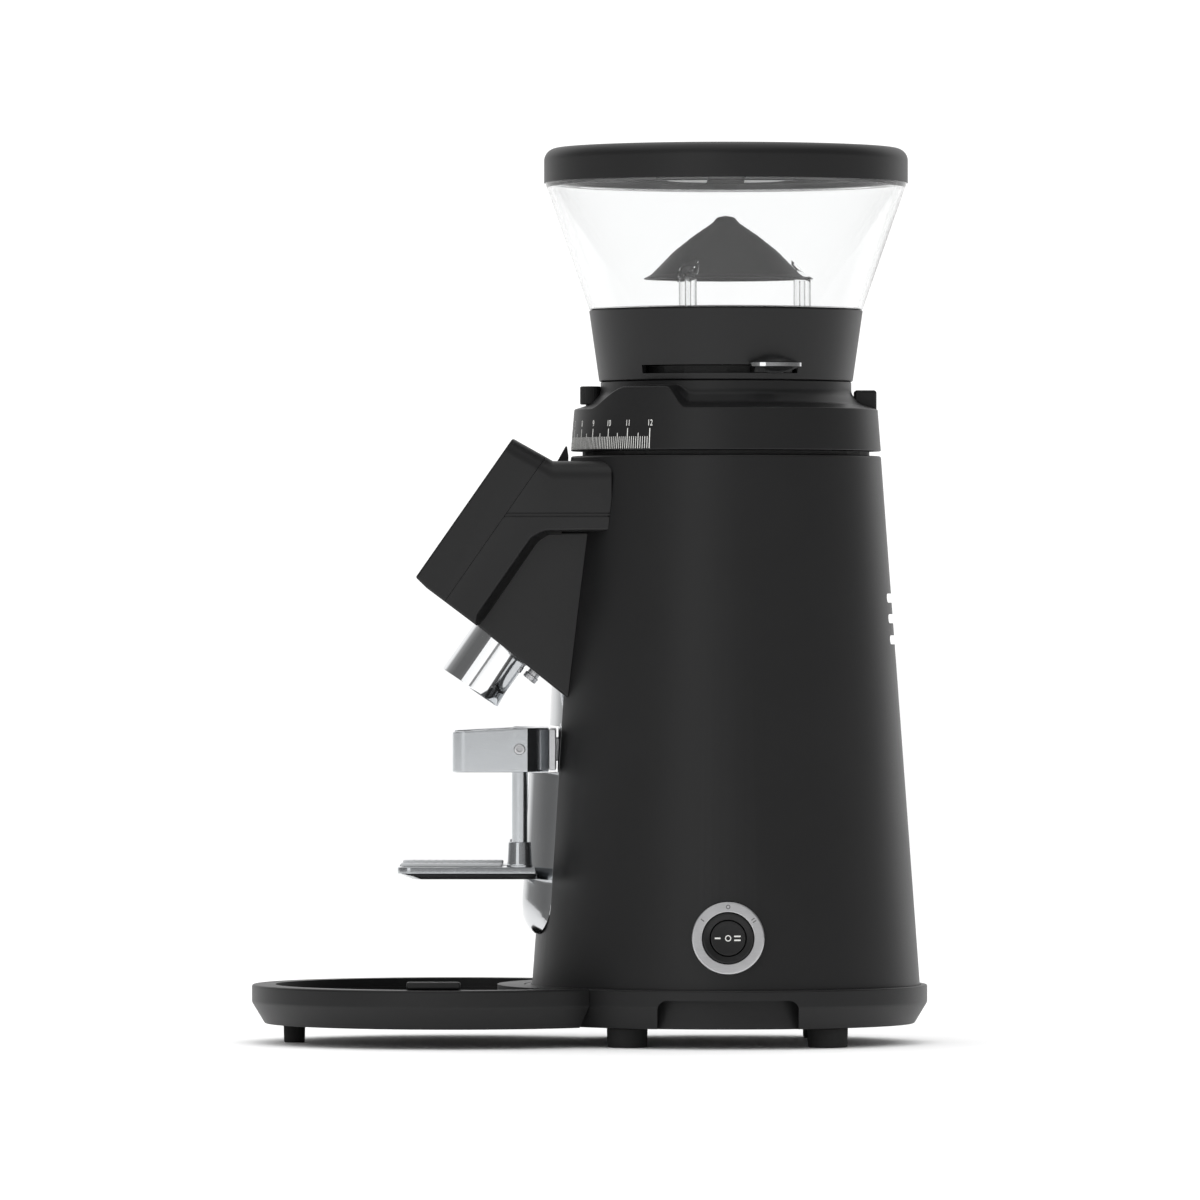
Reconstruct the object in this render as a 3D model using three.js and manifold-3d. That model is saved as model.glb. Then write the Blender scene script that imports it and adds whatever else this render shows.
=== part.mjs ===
// A commercial espresso grinder as an assembly of separate parts, in millimetres, +Z up.
// The origin lies under the middle of the footprint, and the front (drip tray) faces -Y.
// Most parts are drawn about the housing's own vertical axis, which stands BODY_Y behind the origin.
import * as THREE from "three";
import { mergeVertices } from "three/addons/utils/BufferGeometryUtils.js";
import Module from "manifold-3d";

// ---- Driving dimensions ----
const ROUND = 32; // facets round a large circle
const MIDDLE_ROUND = 20; // facets round a middling circle
const SMALL_ROUND = 12; // facets round a small circle
const GAP = 0.3; // clearance between touching parts
const WALL = 3; // moulded wall

const BASE_RADIUS = 104.7;
const BASE_TOP = 30.4;
const BASE_WAIST = 21.3; // height where the base starts to taper under itself
const BASE_BOTTOM = 10.2;
const BASE_SOLE_RADIUS = 98;
const TRAY_Y = -141.8; // tray's centre, in front of the housing's axis
const BODY_Y = -TRAY_Y / 2;

const BODY_BOTTOM = 29.6;
const BODY_TOP = 304.7;
const BODY_BOTTOM_RADIUS = 100.9;
const BODY_TOP_RADIUS = 80.6;

const SHIELD_TOP = 179.4;
const SHIELD_BOTTOM = 57.2;
const SHIELD_PLATE = 2.4;

const FACE_CENTRE = [-135.25, 277.25]; // middle of the display face, as [y, z]
const FACE_TILT = THREE.MathUtils.degToRad(55.07); // rise of the display face above horizontal
const HEAD_REAR_HALF_WIDTH = 57;
const HEAD_FRONT_HALF_WIDTH = 52;
const COVER_DEPTH = 19;
const FAIRING_TOP_HALF_WIDTH = 43;
const FAIRING_BOTTOM_HALF_WIDTH = 37;

const SPOUT_END = [-133.1, 184.3]; // centre of the spout's mouth, as [y, z]
const SPOUT_RADIUS = 17.5;
const SPOUT_LENGTH = 52;
const CHUTE_INLET = [-50, 277];
const CHUTE_OUTLET = [-96, 239.3];
const CHUTE_RADIUS = 11;

const YOKE_TOP = 164;
const YOKE_BOTTOM = 141.1;
const YOKE_HALF_WIDTH = 47.5;
const YOKE_FRONT = -141.6;
const SLOT_RADIUS = 36; // clears a 58 mm portafilter's rim
const PORTAFILTER_Y = -134;
const ROD_X = 38.5;
const ROD_Y = -107;
const ROD_RADIUS = 4;
const FORK_TOP = 92.1;

const DIAL_BOTTOM = 307.3;
const DIAL_TOP = 343.2;
const BURR_RADIUS = 32;
const BURR_BORE = 18;
const BURR_PARTING = 281.4;

const COLLAR_BOTTOM = 343.5;
const COLLAR_TOP = 380.6;
const THROAT_RADIUS = 34;
const SHUTTER_OPENINGS = 4;
const SHUTTER_OPENING_ANGLE = 42;
const HOPPER_TOP = 446.2;
const HOPPER_TOP_RADIUS = 94;
const LID_RADIUS = 94.6;
const LID_BOTTOM = 446.7;
const LID_TOP = 464.8;
const GRIP_RADIUS = 35.2; // circle of the two finger recesses in the lid
const GRIP_HALF_BAR = 9.8; // half the bar left between them
const POST_CIRCLE = 39.7;
const POST_ANGLES = [90, 210, 330];

const SWITCH_Z = 57;

// ---- Colours and finishes ----
function finish(color, roughness, metalness, extra = {}) {
  return new THREE.MeshStandardMaterial({ color, roughness, metalness, ...extra });
}

const blackPaint = finish(0x2b2b2b, 0.45, 0.1);
const blackPlastic = finish(0x262626, 0.5, 0);
const rubber = finish(0x1b1b1b, 0.85, 0);
const padRubber = finish(0xb9bbbd, 0.6, 0);
const chrome = finish(0xe8e9ea, 0.08, 1);
const brushedSteel = finish(0xb4b5b7, 0.35, 1);
const aluminium = finish(0xa7a9ab, 0.45, 0.9);
const burrSteel = finish(0x8f9194, 0.3, 1);
const darkGlass = finish(0x101214, 0.05, 0);
const clear = finish(0xf2f5f6, 0.05, 0, { transparent: true, opacity: 0.3 });
const castIron = finish(0x55575a, 0.7, 0.6);
const greenBoard = finish(0x2d5a3a, 0.6, 0);
const greyPlastic = finish(0x8b8d8f, 0.5, 0);

// ---- Solids ----
const wasm = await Module();
wasm.setup();

// A closed geometry as a solid that can be joined and cut.
function solidOf(geometry) {
  const bare = geometry.index ? geometry.toNonIndexed() : geometry.clone();
  bare.deleteAttribute("normal");
  bare.deleteAttribute("uv");
  const merged = mergeVertices(bare, 1e-4);
  const corners = merged.index.array;
  const triVerts = [];
  for (let i = 0; i < corners.length; i += 3) {
    const [a, b, c] = corners.slice(i, i + 3);
    if (a !== b && b !== c && c !== a) triVerts.push(a, b, c);
  }
  return new wasm.Manifold(
    new wasm.Mesh({
      numProp: 3,
      vertProperties: merged.getAttribute("position").array,
      triVerts: new Uint32Array(triVerts),
    }),
  );
}

// A named mesh of a solid.
function part(name, solid, material) {
  const { vertProperties, triVerts } = solid.getMesh();
  const geometry = new THREE.BufferGeometry();
  geometry.setAttribute("position", new THREE.BufferAttribute(vertProperties, 3));
  geometry.setIndex(new THREE.BufferAttribute(triVerts, 1));
  geometry.computeVertexNormals();
  const mesh = new THREE.Mesh(geometry, material);
  mesh.name = name;
  return mesh;
}

// An outline of corners [x, y] or [x, y, radius], with the given radius rounding the corner.
function outline(corners) {
  const shape = new THREE.Shape();
  corners.forEach(([x, y, radius = 0], i) => {
    const here = new THREE.Vector2(x, y);
    const before = new THREE.Vector2(...corners.at(i - 1).slice(0, 2)).sub(here);
    const after = new THREE.Vector2(...corners[(i + 1) % corners.length].slice(0, 2)).sub(here);
    const half = Math.abs(before.angleTo(after)) / 2;
    const reach = radius / Math.tan(half);
    const start = here.clone().add(before.setLength(reach));
    const end = here.clone().add(after.setLength(reach));
    if (i === 0) shape.moveTo(start.x, start.y);
    else shape.lineTo(start.x, start.y);
    if (radius > 0) shape.quadraticCurveTo(x, y, end.x, end.y);
  });
  shape.closePath();
  return shape;
}

function circle(radius, x = 0, y = 0) {
  return new THREE.Shape().absarc(x, y, radius, 0, 2 * Math.PI);
}

// A slice of a disc between two azimuths in degrees.
function slice(radius, from, to) {
  const [start, end] = [from, to].map((degrees) => THREE.MathUtils.degToRad(degrees));
  const shape = new THREE.Shape().moveTo(0, 0);
  shape.lineTo(radius * Math.cos(start), radius * Math.sin(start));
  shape.absarc(0, 0, radius, start, end);
  return shape;
}

// A plan outline pulled up from one height to another.
function upright(shape, bottom, top, curveSegments = 6) {
  const depth = top - bottom;
  const options = { depth, bevelEnabled: false, curveSegments };
  return new THREE.ExtrudeGeometry(shape, options).translate(0, 0, bottom);
}

// A side outline in [y, z] pulled across from x = -halfWidth to +halfWidth.
const SIDE_VIEW = new THREE.Matrix4().makeBasis(
  new THREE.Vector3(0, 1, 0),
  new THREE.Vector3(0, 0, 1),
  new THREE.Vector3(1, 0, 0),
);
function across(shape, halfWidth, { steps = 1, curveSegments = 4 } = {}) {
  const options = { depth: 2 * halfWidth, bevelEnabled: false, steps, curveSegments };
  return new THREE.ExtrudeGeometry(shape, options)
    .translate(0, 0, -halfWidth)
    .applyMatrix4(SIDE_VIEW);
}

// An outline of [radius, height] points, anticlockwise, turned about the vertical axis.
function revolved(points, segments = ROUND) {
  const profile = [...points, points[0]].map(([r, z]) => new THREE.Vector2(r, z));
  return solidOf(new THREE.LatheGeometry(profile, segments).rotateX(Math.PI / 2));
}

function disc(radius, bottom, top, x = 0, y = 0, segments = SMALL_ROUND) {
  const geometry = new THREE.CylinderGeometry(radius, radius, top - bottom, segments);
  return solidOf(geometry.rotateX(Math.PI / 2).translate(x, y, (bottom + top) / 2));
}

function box(x0, x1, y0, y1, z0, z1) {
  const geometry = new THREE.BoxGeometry(x1 - x0, y1 - y0, z1 - z0);
  return solidOf(geometry.translate((x0 + x1) / 2, (y0 + y1) / 2, (z0 + z1) / 2));
}

// A cylinder between two points of the middle plane, each as [y, z].
function slanted(radius, [y0, z0], [y1, z1], segments = MIDDLE_ROUND) {
  const length = Math.hypot(y1 - y0, z1 - z0);
  const geometry = new THREE.CylinderGeometry(radius, radius, length, segments);
  geometry.rotateX(Math.atan2(z1 - z0, y1 - y0));
  return solidOf(geometry.translate(0, (y0 + y1) / 2, (z0 + z1) / 2));
}

// Moves each vertex with a function of its position.
function reshaped(geometry, move) {
  const position = geometry.getAttribute("position");
  const point = new THREE.Vector3();
  for (let i = 0; i < position.count; i++) {
    move(point.fromBufferAttribute(position, i));
    position.setXYZ(i, point.x, point.y, point.z);
  }
  return geometry;
}

// ---- Places on the housing ----
function between(a, b, share) {
  return a + (b - a) * share;
}

function bodyRadius(z) {
  const share = (z - BODY_BOTTOM) / (BODY_TOP - BODY_BOTTOM);
  return between(BODY_BOTTOM_RADIUS, BODY_TOP_RADIUS, share);
}

// The tapered housing, grown by a clearance, as a tool to cut what hugs it.
function bodyBlock(clearance) {
  const ends = [BODY_BOTTOM - 10, BODY_TOP + 20];
  return revolved([
    [0, ends[0]],
    [bodyRadius(ends[0]) + clearance, ends[0]],
    [bodyRadius(ends[1]) + clearance, ends[1]],
    [0, ends[1]],
  ]);
}

function shieldHalfWidth(z) {
  return 35.4 - (z - 77.7) * 0.0467;
}

// A solid drawn in the display face's frame: x across, y up the face, z out of it.
function onFace(geometry) {
  return solidOf(geometry.rotateX(FACE_TILT).translate(0, ...FACE_CENTRE));
}

function faceBox(halfWidth, low, high, back, front) {
  const geometry = new THREE.BoxGeometry(2 * halfWidth, high - low, front - back);
  return onFace(geometry.translate(0, (low + high) / 2, (back + front) / 2));
}

// ---- Base, feet and tray ----
function baseProfile(shrink = 0) {
  return [
    [BASE_SOLE_RADIUS - shrink, BASE_BOTTOM],
    [BASE_RADIUS - shrink, BASE_WAIST],
    [BASE_RADIUS - shrink, BASE_TOP],
  ];
}

function baseRing() {
  let ring = revolved([
    [88, BASE_BOTTOM],
    ...baseProfile(),
    [101.3, BASE_TOP],
    [101.3, 29.3],
    [92, 29.3],
    [92, 14.2],
    [88, 14.2],
  ]);
  const pocketDepth = 3;
  const pocketLayer = revolved([
    [BASE_SOLE_RADIUS - pocketDepth, BASE_BOTTOM - 1],
    [110, BASE_BOTTOM - 1],
    [110, BASE_WAIST],
    [BASE_RADIUS - pocketDepth, BASE_WAIST],
    [BASE_SOLE_RADIUS - pocketDepth, BASE_BOTTOM],
  ]);
  ring = ring.subtract(pocketLayer.intersect(box(-120, 120, -36.2, 36.2, 0, 40)));
  return ring.subtract(slanted(6.4, [85, 17.6], [120, 17.6], SMALL_ROUND));
}

function bottomCover() {
  let cover = disc(87.6, 10.5, 13.5, 0, 0, ROUND);
  for (let y = -30; y <= 30; y += 15) cover = cover.subtract(box(-30, 30, y - 3, y + 3, 9, 15));
  return cover;
}

function foot(radius, x, y) {
  return revolved([
    [0, 0],
    [radius - 0.8, 0],
    [radius, 0.8],
    [radius, 9.9],
    [0, 9.9],
  ], SMALL_ROUND + 4).translate(x, y, 0);
}

const TRAY_WELL_RADIUS = 92.4;
const TRAY_LAND_RADIUS = 118.9; // the tray's flat land is concentric with the housing

function trayDish() {
  const well = disc(TRAY_WELL_RADIUS, 13.5, 40, 0, 0, ROUND);
  const dish = revolved([[0, BASE_BOTTOM], ...baseProfile(), [0, BASE_TOP]]);
  const land = disc(TRAY_LAND_RADIUS, 0, 50, 0, -TRAY_Y, ROUND);
  const behind = disc(BASE_RADIUS + GAP, 0, 50, 0, -TRAY_Y, ROUND);
  return dish.subtract(well.subtract(land)).subtract(behind).translate(0, TRAY_Y, 0);
}

// A thin dish that lies in the tray, with a tab at one side to lift it by.
function trayLiner() {
  const rim = TRAY_WELL_RADIUS - GAP;
  const land = disc(TRAY_LAND_RADIUS + GAP, 0, 50, 0, -TRAY_Y, ROUND);
  const innerLand = disc(TRAY_LAND_RADIUS + GAP + 1.8, 0, 50, 0, -TRAY_Y, ROUND);
  const outer = disc(rim, 13.8, 26, 0, 0, ROUND).subtract(land);
  const inner = disc(rim - 1.8, 15.6, 40, 0, 0, ROUND).subtract(innerLand);
  const tab = box(rim - 3.5, 97, -9 - 13.8, -9 + 13.8, 30.7, 34.5);
  const riser = box(rim - 3.5, rim - 1.2, -9 - 13.8, -9 + 13.8, 20, 34.5);
  const fitted = riser.intersect(disc(rim, 10, 40, 0, 0, ROUND));
  return outer.subtract(inner).add(tab).add(fitted).translate(0, TRAY_Y, 0);
}

// ---- Housing ----
function shieldWindow(clearance) {
  const low = SHIELD_BOTTOM - clearance;
  const bottom = shieldHalfWidth(low) + clearance;
  const top = shieldHalfWidth(SHIELD_TOP) + clearance;
  const corner = 14.5;
  const opening = outline([
    [-bottom, low, corner],
    [bottom, low, corner],
    [top, SHIELD_TOP + clearance],
    [-top, SHIELD_TOP + clearance],
  ]);
  const geometry = new THREE.ExtrudeGeometry(opening, {
    depth: 60,
    bevelEnabled: false,
    curveSegments: 6,
  });
  return solidOf(geometry.rotateX(Math.PI / 2).translate(0, -60, 0));
}

function bodyShell() {
  const inner = (z) => bodyRadius(z) - WALL;
  let shell = revolved([
    [inner(BODY_BOTTOM), BODY_BOTTOM],
    [BODY_BOTTOM_RADIUS, BODY_BOTTOM],
    [BODY_TOP_RADIUS, BODY_TOP],
    [62, BODY_TOP],
    [62, BODY_TOP - WALL],
    [inner(BODY_TOP - WALL), BODY_TOP - WALL],
  ]);
  shell = shell.subtract(shieldWindow(GAP));
  shell = shell.subtract(slanted(CHUTE_RADIUS + 0.6, [-70, 260.6], [-110, 227.8]));
  for (const z of [231, 220.3, 209.3]) {
    const slot = outline([[-22, -2.35, 2.3], [22, -2.35, 2.3], [22, 2.35, 2.3], [-22, 2.35, 2.3]]);
    const cutter = upright(slot, 0, 40, 3).rotateX(Math.PI / 2).translate(0, 100, z);
    shell = shell.subtract(solidOf(cutter));
  }
  return shell.subtract(onSwitch(upright(circle(14), -20, 20, 8)));
}

// The chrome splash plate: bulging towards the portafilter below the yoke, flush above it.
function frontShield() {
  const front = [
    [-100.4, SHIELD_BOTTOM],
    [-103.5, 60.8],
    [-105.7, 66],
    [-105.9, 75],
    [-105.2, 85],
    [-102.1, 140.4],
    [-87.2, 140.6],
    [-87.2, 164.6],
    [-91.7, 164.9],
    [-91, SHIELD_TOP],
  ];
  const plate = SHIELD_PLATE;
  const back = [
    [front[9][0] + plate, SHIELD_TOP],
    [front[8][0] + plate, 167.2],
    [front[7][0] + plate, 166.8],
    [front[6][0] + plate, 138.2],
    [front[5][0] + plate, 138],
    [front[4][0] + plate, 85],
    [front[3][0] + plate, 75],
    [front[2][0] + plate, 67],
    [front[1][0] + plate, 62.4],
    [front[0][0] + plate, SHIELD_BOTTOM + 1.5],
  ];
  const bulge = (z) => 14 - (z - 66) * 0.06;
  const sheet = reshaped(across(outline([...front, ...back].reverse()), 36, { steps: 8 }), (p) => {
    p.y += bulge(p.z) * (p.x / 36) ** 2;
  });
  const slot = box(-15.4, 15.4, -110, -60, 146.3, 158.9);
  return solidOf(sheet).intersect(shieldWindow(0)).subtract(slot);
}

// ---- Switch, on the right side ----
const SWITCH_PLACE = new THREE.Matrix4()
  .makeRotationY(Math.PI / 2 - Math.atan2(BODY_BOTTOM_RADIUS - BODY_TOP_RADIUS, BODY_TOP - BODY_BOTTOM))
  .setPosition(bodyRadius(SWITCH_Z), 0, SWITCH_Z);

// A solid drawn in the switch's frame: z points out of the housing.
function onSwitch(geometry) {
  return solidOf(geometry.applyMatrix4(SWITCH_PLACE));
}

function turnedOnSwitch(points, segments = MIDDLE_ROUND) {
  const profile = [...points, points[0]].map(([r, z]) => new THREE.Vector2(r, z));
  return onSwitch(new THREE.LatheGeometry(profile, segments).rotateX(Math.PI / 2));
}

const ROCKER_SPHERE = 9.3;
const ROCKER_PIVOT = -1.8; // depth of the rocker's pivot under the housing's surface

function switchBezel() {
  const ring = turnedOnSwitch([[13.4, -2.4], [18.6, -2.4], [18.6, 1.6], [17.8, 2], [13.4, 2]]);
  return ring.subtract(bodyBlock(GAP));
}

function switchHousing() {
  return turnedOnSwitch([
    [ROCKER_SPHERE + GAP, -9],
    [13.1, -9],
    [13.1, 1.6],
    [11.6, 2.3],
    [ROCKER_SPHERE + GAP, 1.4],
  ]);
}

function rocker() {
  const points = [];
  const face = Math.asin(3 / ROCKER_SPHERE);
  const back = -Math.asin(6 / ROCKER_SPHERE);
  const steps = 5;
  for (let i = 0; i <= steps; i++) {
    const angle = between(back, face, i / steps);
    const radius = ROCKER_SPHERE * Math.cos(angle);
    points.push([radius, ROCKER_PIVOT + ROCKER_SPHERE * Math.sin(angle)]);
  }
  return turnedOnSwitch([[0, points[0][1]], ...points, [0, points.at(-1)[1]]]);
}

// ---- Head: cover, shell, fairing, spout ----
const HEAD_SIDE = [
  [-110.2, 313.1, 3],
  [-160.3, 241.4, 3],
  [-155, 236.2, 1],
  [-129.2, 216.8],
  [-128.6, 222.4],
  [-100.5, 262.5, 9],
  [-94, 265.6],
  [-60, 265.9, 3],
  [-60, 301.7, 6],
  [-89.7, 301.7],
];

function headHalfWidth(y) {
  const share = (y + 160) / 80;
  return between(HEAD_FRONT_HALF_WIDTH, HEAD_REAR_HALF_WIDTH, Math.min(1, Math.max(0, share)));
}

function headBlock(inset) {
  const side = across(outline(HEAD_SIDE), 1);
  return solidOf(reshaped(side, (p) => (p.x *= headHalfWidth(p.y) - inset)));
}

function headFrontCover() {
  const cover = headBlock(0).intersect(faceBox(70, -80, 80, -COVER_DEPTH, 10));
  const hollow = faceBox(48.5, -39.5, 40, -COVER_DEPTH - 5, -WALL);
  const seat = faceBox(38.3, -30.3, 30.3, -1.8, 5);
  const window = faceBox(34, -26, 26, -10, 5);
  return cover.subtract(hollow).subtract(seat).subtract(window);
}

function headShell() {
  const shell = headBlock(0).intersect(faceBox(70, -90, 90, -140, -COVER_DEPTH - GAP));
  const pocket = outline([
    [-104, 298],
    [-152, 240.5],
    [-127.5, 227.5],
    [-101.5, 266.5],
    [-95, 269.2],
    [-70, 269.2],
    [-70, 298],
  ]);
  return shell
    .subtract(solidOf(across(pocket, 48)))
    .subtract(bodyBlock(GAP))
    .subtract(spoutCylinder(SPOUT_RADIUS + GAP, -10, 80));
}

// The throat under the head: two side walls and the slanted floor that the spout passes through.
function headFairing() {
  const taper = (p) => {
    const share = (p.z - 180) / 84;
    p.x *= between(FAIRING_BOTTOM_HALF_WIDTH, FAIRING_TOP_HALF_WIDTH, share);
  };
  const side = [
    [-128.8, 216.5],
    [-82, 179],
    [-60, 179],
    [-60, 265.5],
    [-94.2, 265.2],
    [-100.2, 262],
    [-128.2, 221.9],
  ];
  const pocket = [
    [-131, 222.1],
    [-70, 173.6],
    [-50, 173.6],
    [-50, 275],
    [-94, 275],
    [-131, 235],
  ];
  const outside = solidOf(reshaped(across(outline(side), 1), taper));
  const inside = solidOf(across(outline(pocket), FAIRING_BOTTOM_HALF_WIDTH - WALL));
  return outside
    .subtract(inside)
    .subtract(bodyBlock(GAP))
    .subtract(spoutCylinder(SPOUT_RADIUS + GAP, -10, 80))
    .subtract(buttonCylinder(2.3, -10, 20));
}

// A cylinder on the spout's axis, between two distances up from its mouth.
function spoutCylinder(radius, from, to) {
  const up = [Math.cos(FACE_TILT), Math.sin(FACE_TILT)];
  const at = (distance) => SPOUT_END.map((value, i) => value + up[i] * distance);
  return slanted(radius, at(from), at(to), 28);
}

function spout() {
  const bore = spoutCylinder(SPOUT_RADIUS - 1.5, -1, SPOUT_LENGTH + 1);
  return spoutCylinder(SPOUT_RADIUS, 0, SPOUT_LENGTH).subtract(bore);
}

// The chute starts in the grind chamber's wall and ends over the spout.
function chute() {
  const tube = slanted(CHUTE_RADIUS, CHUTE_INLET, CHUTE_OUTLET);
  const reach = [2 * CHUTE_OUTLET[0] - CHUTE_INLET[0], 2 * CHUTE_OUTLET[1] - CHUTE_INLET[1]];
  const before = [CHUTE_INLET[0] + 10, CHUTE_INLET[1] + 8.2];
  const bore = slanted(CHUTE_RADIUS - 2, before, reach);
  return tube
    .subtract(bore)
    .subtract(disc(55.3, 250, 330, 0, 0, ROUND))
    .subtract(spoutCylinder(SPOUT_RADIUS + GAP, -5, SPOUT_LENGTH + GAP));
}

// The start button stands on the slanted floor, between the spout and the housing.
const BUTTON_FOOT = [-99.2, 192.8];
const BUTTON_OUT = [-0.6257, -0.7801]; // out of the floor
function buttonCylinder(radius, from, to) {
  const at = (distance) => BUTTON_FOOT.map((value, i) => value + BUTTON_OUT[i] * distance);
  return slanted(radius, at(from), at(to), SMALL_ROUND);
}

function startButton() {
  return buttonCylinder(3.65, 2.6, 5.4).add(buttonCylinder(2, -9, 3));
}

function buttonSpring() {
  const coils = 3;
  const pitch = 1.4;
  const radius = 3;
  const base = new THREE.Vector3(0, BUTTON_FOOT[0], BUTTON_FOOT[1]);
  const along = new THREE.Vector3(0, ...BUTTON_OUT);
  const side = new THREE.Vector3(0, -BUTTON_OUT[1], BUTTON_OUT[0]);
  const points = [];
  for (let i = 0; i <= coils * 6; i++) {
    const angle = (i / 6) * 2 * Math.PI;
    const point = base.clone().addScaledVector(along, -4.4 - (pitch * i) / 6);
    point.addScaledVector(side, radius * Math.cos(angle));
    point.x += radius * Math.sin(angle);
    points.push(point);
  }
  const extrudePath = new THREE.CatmullRomCurve3(points);
  const wire = circle(0.35);
  const options = { extrudePath, steps: coils * 6, curveSegments: 2, bevelEnabled: false };
  return solidOf(new THREE.ExtrudeGeometry(wire, options));
}

function indexPointer() {
  return solidOf(across(outline([[-87.8, 302], [-81.9, 302], [-81.9, 305], [-82.8, 311]]), 1.5));
}

function displayGlass() {
  return faceBox(38, -30, 30, -1.5, -0.2);
}

function displayBoard() {
  return faceBox(33, -25, 25, -10.5, -8.5);
}

// ---- Portafilter holder ----
function yoke() {
  const slot = new THREE.Shape();
  const half = YOKE_HALF_WIDTH;
  slot.moveTo(-SLOT_RADIUS, YOKE_FRONT);
  slot.lineTo(-SLOT_RADIUS, PORTAFILTER_Y);
  slot.absarc(0, PORTAFILTER_Y, SLOT_RADIUS, Math.PI, 0, true);
  slot.lineTo(SLOT_RADIUS, YOKE_FRONT);
  slot.lineTo(half - 5, YOKE_FRONT);
  slot.quadraticCurveTo(half, YOKE_FRONT, half, YOKE_FRONT + 6);
  slot.lineTo(half, -102.9);
  slot.lineTo(half - 16, -92.1);
  slot.lineTo(-half + 16, -92.1);
  slot.lineTo(-half, -102.9);
  slot.lineTo(-half, YOKE_FRONT + 6);
  slot.quadraticCurveTo(-half, YOKE_FRONT, -half + 5, YOKE_FRONT);
  const lowered = reshaped(upright(slot, YOKE_BOTTOM, YOKE_TOP, 10), (p) => {
    if (p.z > YOKE_BOTTOM + 1 && p.y < -103) p.z += (p.y + 103) * 0.055;
  });
  let block = solidOf(lowered);
  for (const x of [-ROD_X, ROD_X]) {
    block = block.subtract(disc(ROD_RADIUS + GAP, 130, 180, x, ROD_Y, 16));
    const screw = new THREE.CylinderGeometry(2.8 + 0.1, 2.8 + 0.1, 20, 16).rotateZ(Math.PI / 2);
    screw.translate(x + Math.sign(x) * 10, ROD_Y, 153);
    block = block.subtract(solidOf(screw));
  }
  return block;
}

function yokeBracket() {
  const strip = box(-41, 41, -91.8, -88.3, 142, 163.2);
  const lug = box(-15, 15, -89, -66, 146.6, 158.6);
  return strip.add(lug);
}

function setScrew(side) {
  const screw = new THREE.CylinderGeometry(2.8, 2.8, 4.9, 16).rotateZ(Math.PI / 2);
  screw.translate(side * (ROD_X + ROD_RADIUS + GAP + 2.5), ROD_Y, 153);
  const socket = new THREE.CylinderGeometry(1.4, 1.4, 4, 6).rotateZ(Math.PI / 2);
  socket.translate(side * (YOKE_HALF_WIDTH + 0.2), ROD_Y, 153);
  return solidOf(screw).subtract(solidOf(socket));
}

function forkPlate() {
  const half = 47.5;
  const front = -170;
  const slotRadius = 22;
  const plan = new THREE.Shape();
  plan.moveTo(-slotRadius, front);
  plan.lineTo(-slotRadius, PORTAFILTER_Y);
  plan.absarc(0, PORTAFILTER_Y, slotRadius, Math.PI, 0, true);
  plan.lineTo(slotRadius, front);
  plan.lineTo(half - 7, front);
  plan.quadraticCurveTo(half, front, half, front + 7);
  plan.lineTo(half, -98.4);
  plan.lineTo(half - 12, -98.4);
  plan.quadraticCurveTo(0, -117.6, -half + 12, -98.4);
  plan.lineTo(-half, -98.4);
  plan.lineTo(-half, front + 7);
  plan.quadraticCurveTo(-half, front, -half + 7, front);
  const upper = solidOf(upright(plan, FORK_TOP - 3.2, FORK_TOP, 8));
  const lower = reshaped(upright(plan, 85.8, FORK_TOP - 3.1, 8), (p) => {
    if (p.z > 86) return;
    if (p.y < -160) p.y += 8;
    p.x -= Math.sign(p.x) * (Math.abs(p.x) > 30 ? 5 : 0);
  });
  let plate = upper.add(solidOf(lower));
  for (const x of [-ROD_X, ROD_X]) {
    const boss = new THREE.CylinderGeometry(5.65, 6.4, 13, SMALL_ROUND).rotateX(Math.PI / 2);
    plate = plate.add(solidOf(boss.translate(x, ROD_Y, FORK_TOP + 5.3)));
    plate = plate.subtract(disc(ROD_RADIUS + 0.05, 90, 120, x, ROD_Y, 16));
  }
  return plate;
}

function forkRod(side) {
  return disc(ROD_RADIUS, 90.3, YOKE_TOP, side * ROD_X, ROD_Y, 16);
}

// A thin strip on the fork, each side of its slot, that the portafilter rests on.
function forkPad(side) {
  const strip = outline([[25, -168.4, 3], [40, -168.4, 4], [40, -116, 2], [25, -116, 2]]);
  const pad = upright(strip, FORK_TOP + 0.3, FORK_TOP + 1.9, 3);
  return solidOf(side > 0 ? pad : pad.rotateY(Math.PI).translate(0, 0, 2 * FORK_TOP + 2.2));
}

// ---- Dial ----
function dialRing() {
  let ring = revolved([
    [49, DIAL_TOP],
    [49, 327],
    [76, 327],
    [77.8, DIAL_BOTTOM],
    [80.6, DIAL_BOTTOM],
    [79.1, 327.6],
    [78.3, 329],
    [71, 331.2],
    [67, 334.4],
    [65.2, 338],
    [65.2, DIAL_TOP],
  ]);
  const hump = revolved([[60, 327.5], [78.6, 327.5], [78.3, 339.2], [77, 340.2], [60, 340.2]]);
  const sector = solidOf(upright(slice(100, -60, -16), 300, 360, 6));
  ring = ring.add(hump.intersect(sector));
  const lug = box(-7, 7, 66.5, 78.2, 327.5, 339);
  ring = ring.add(lug);
  const knobSeat = disc(5.9, 331.3, 350, 0, -70.4, 16);
  return ring.subtract(knobSeat).subtract(disc(2.8, 320, 345, 0, -70.4, 12));
}

function lockKnob() {
  return revolved([
    [0, 322],
    [2.5, 322],
    [2.5, 331.6],
    [5, 331.6],
    [5.5, 332.3],
    [5.5, 340.2],
    [4.6, 341.1],
    [0, 341.1],
  ], 16).translate(0, -70.4, 0);
}

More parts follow.
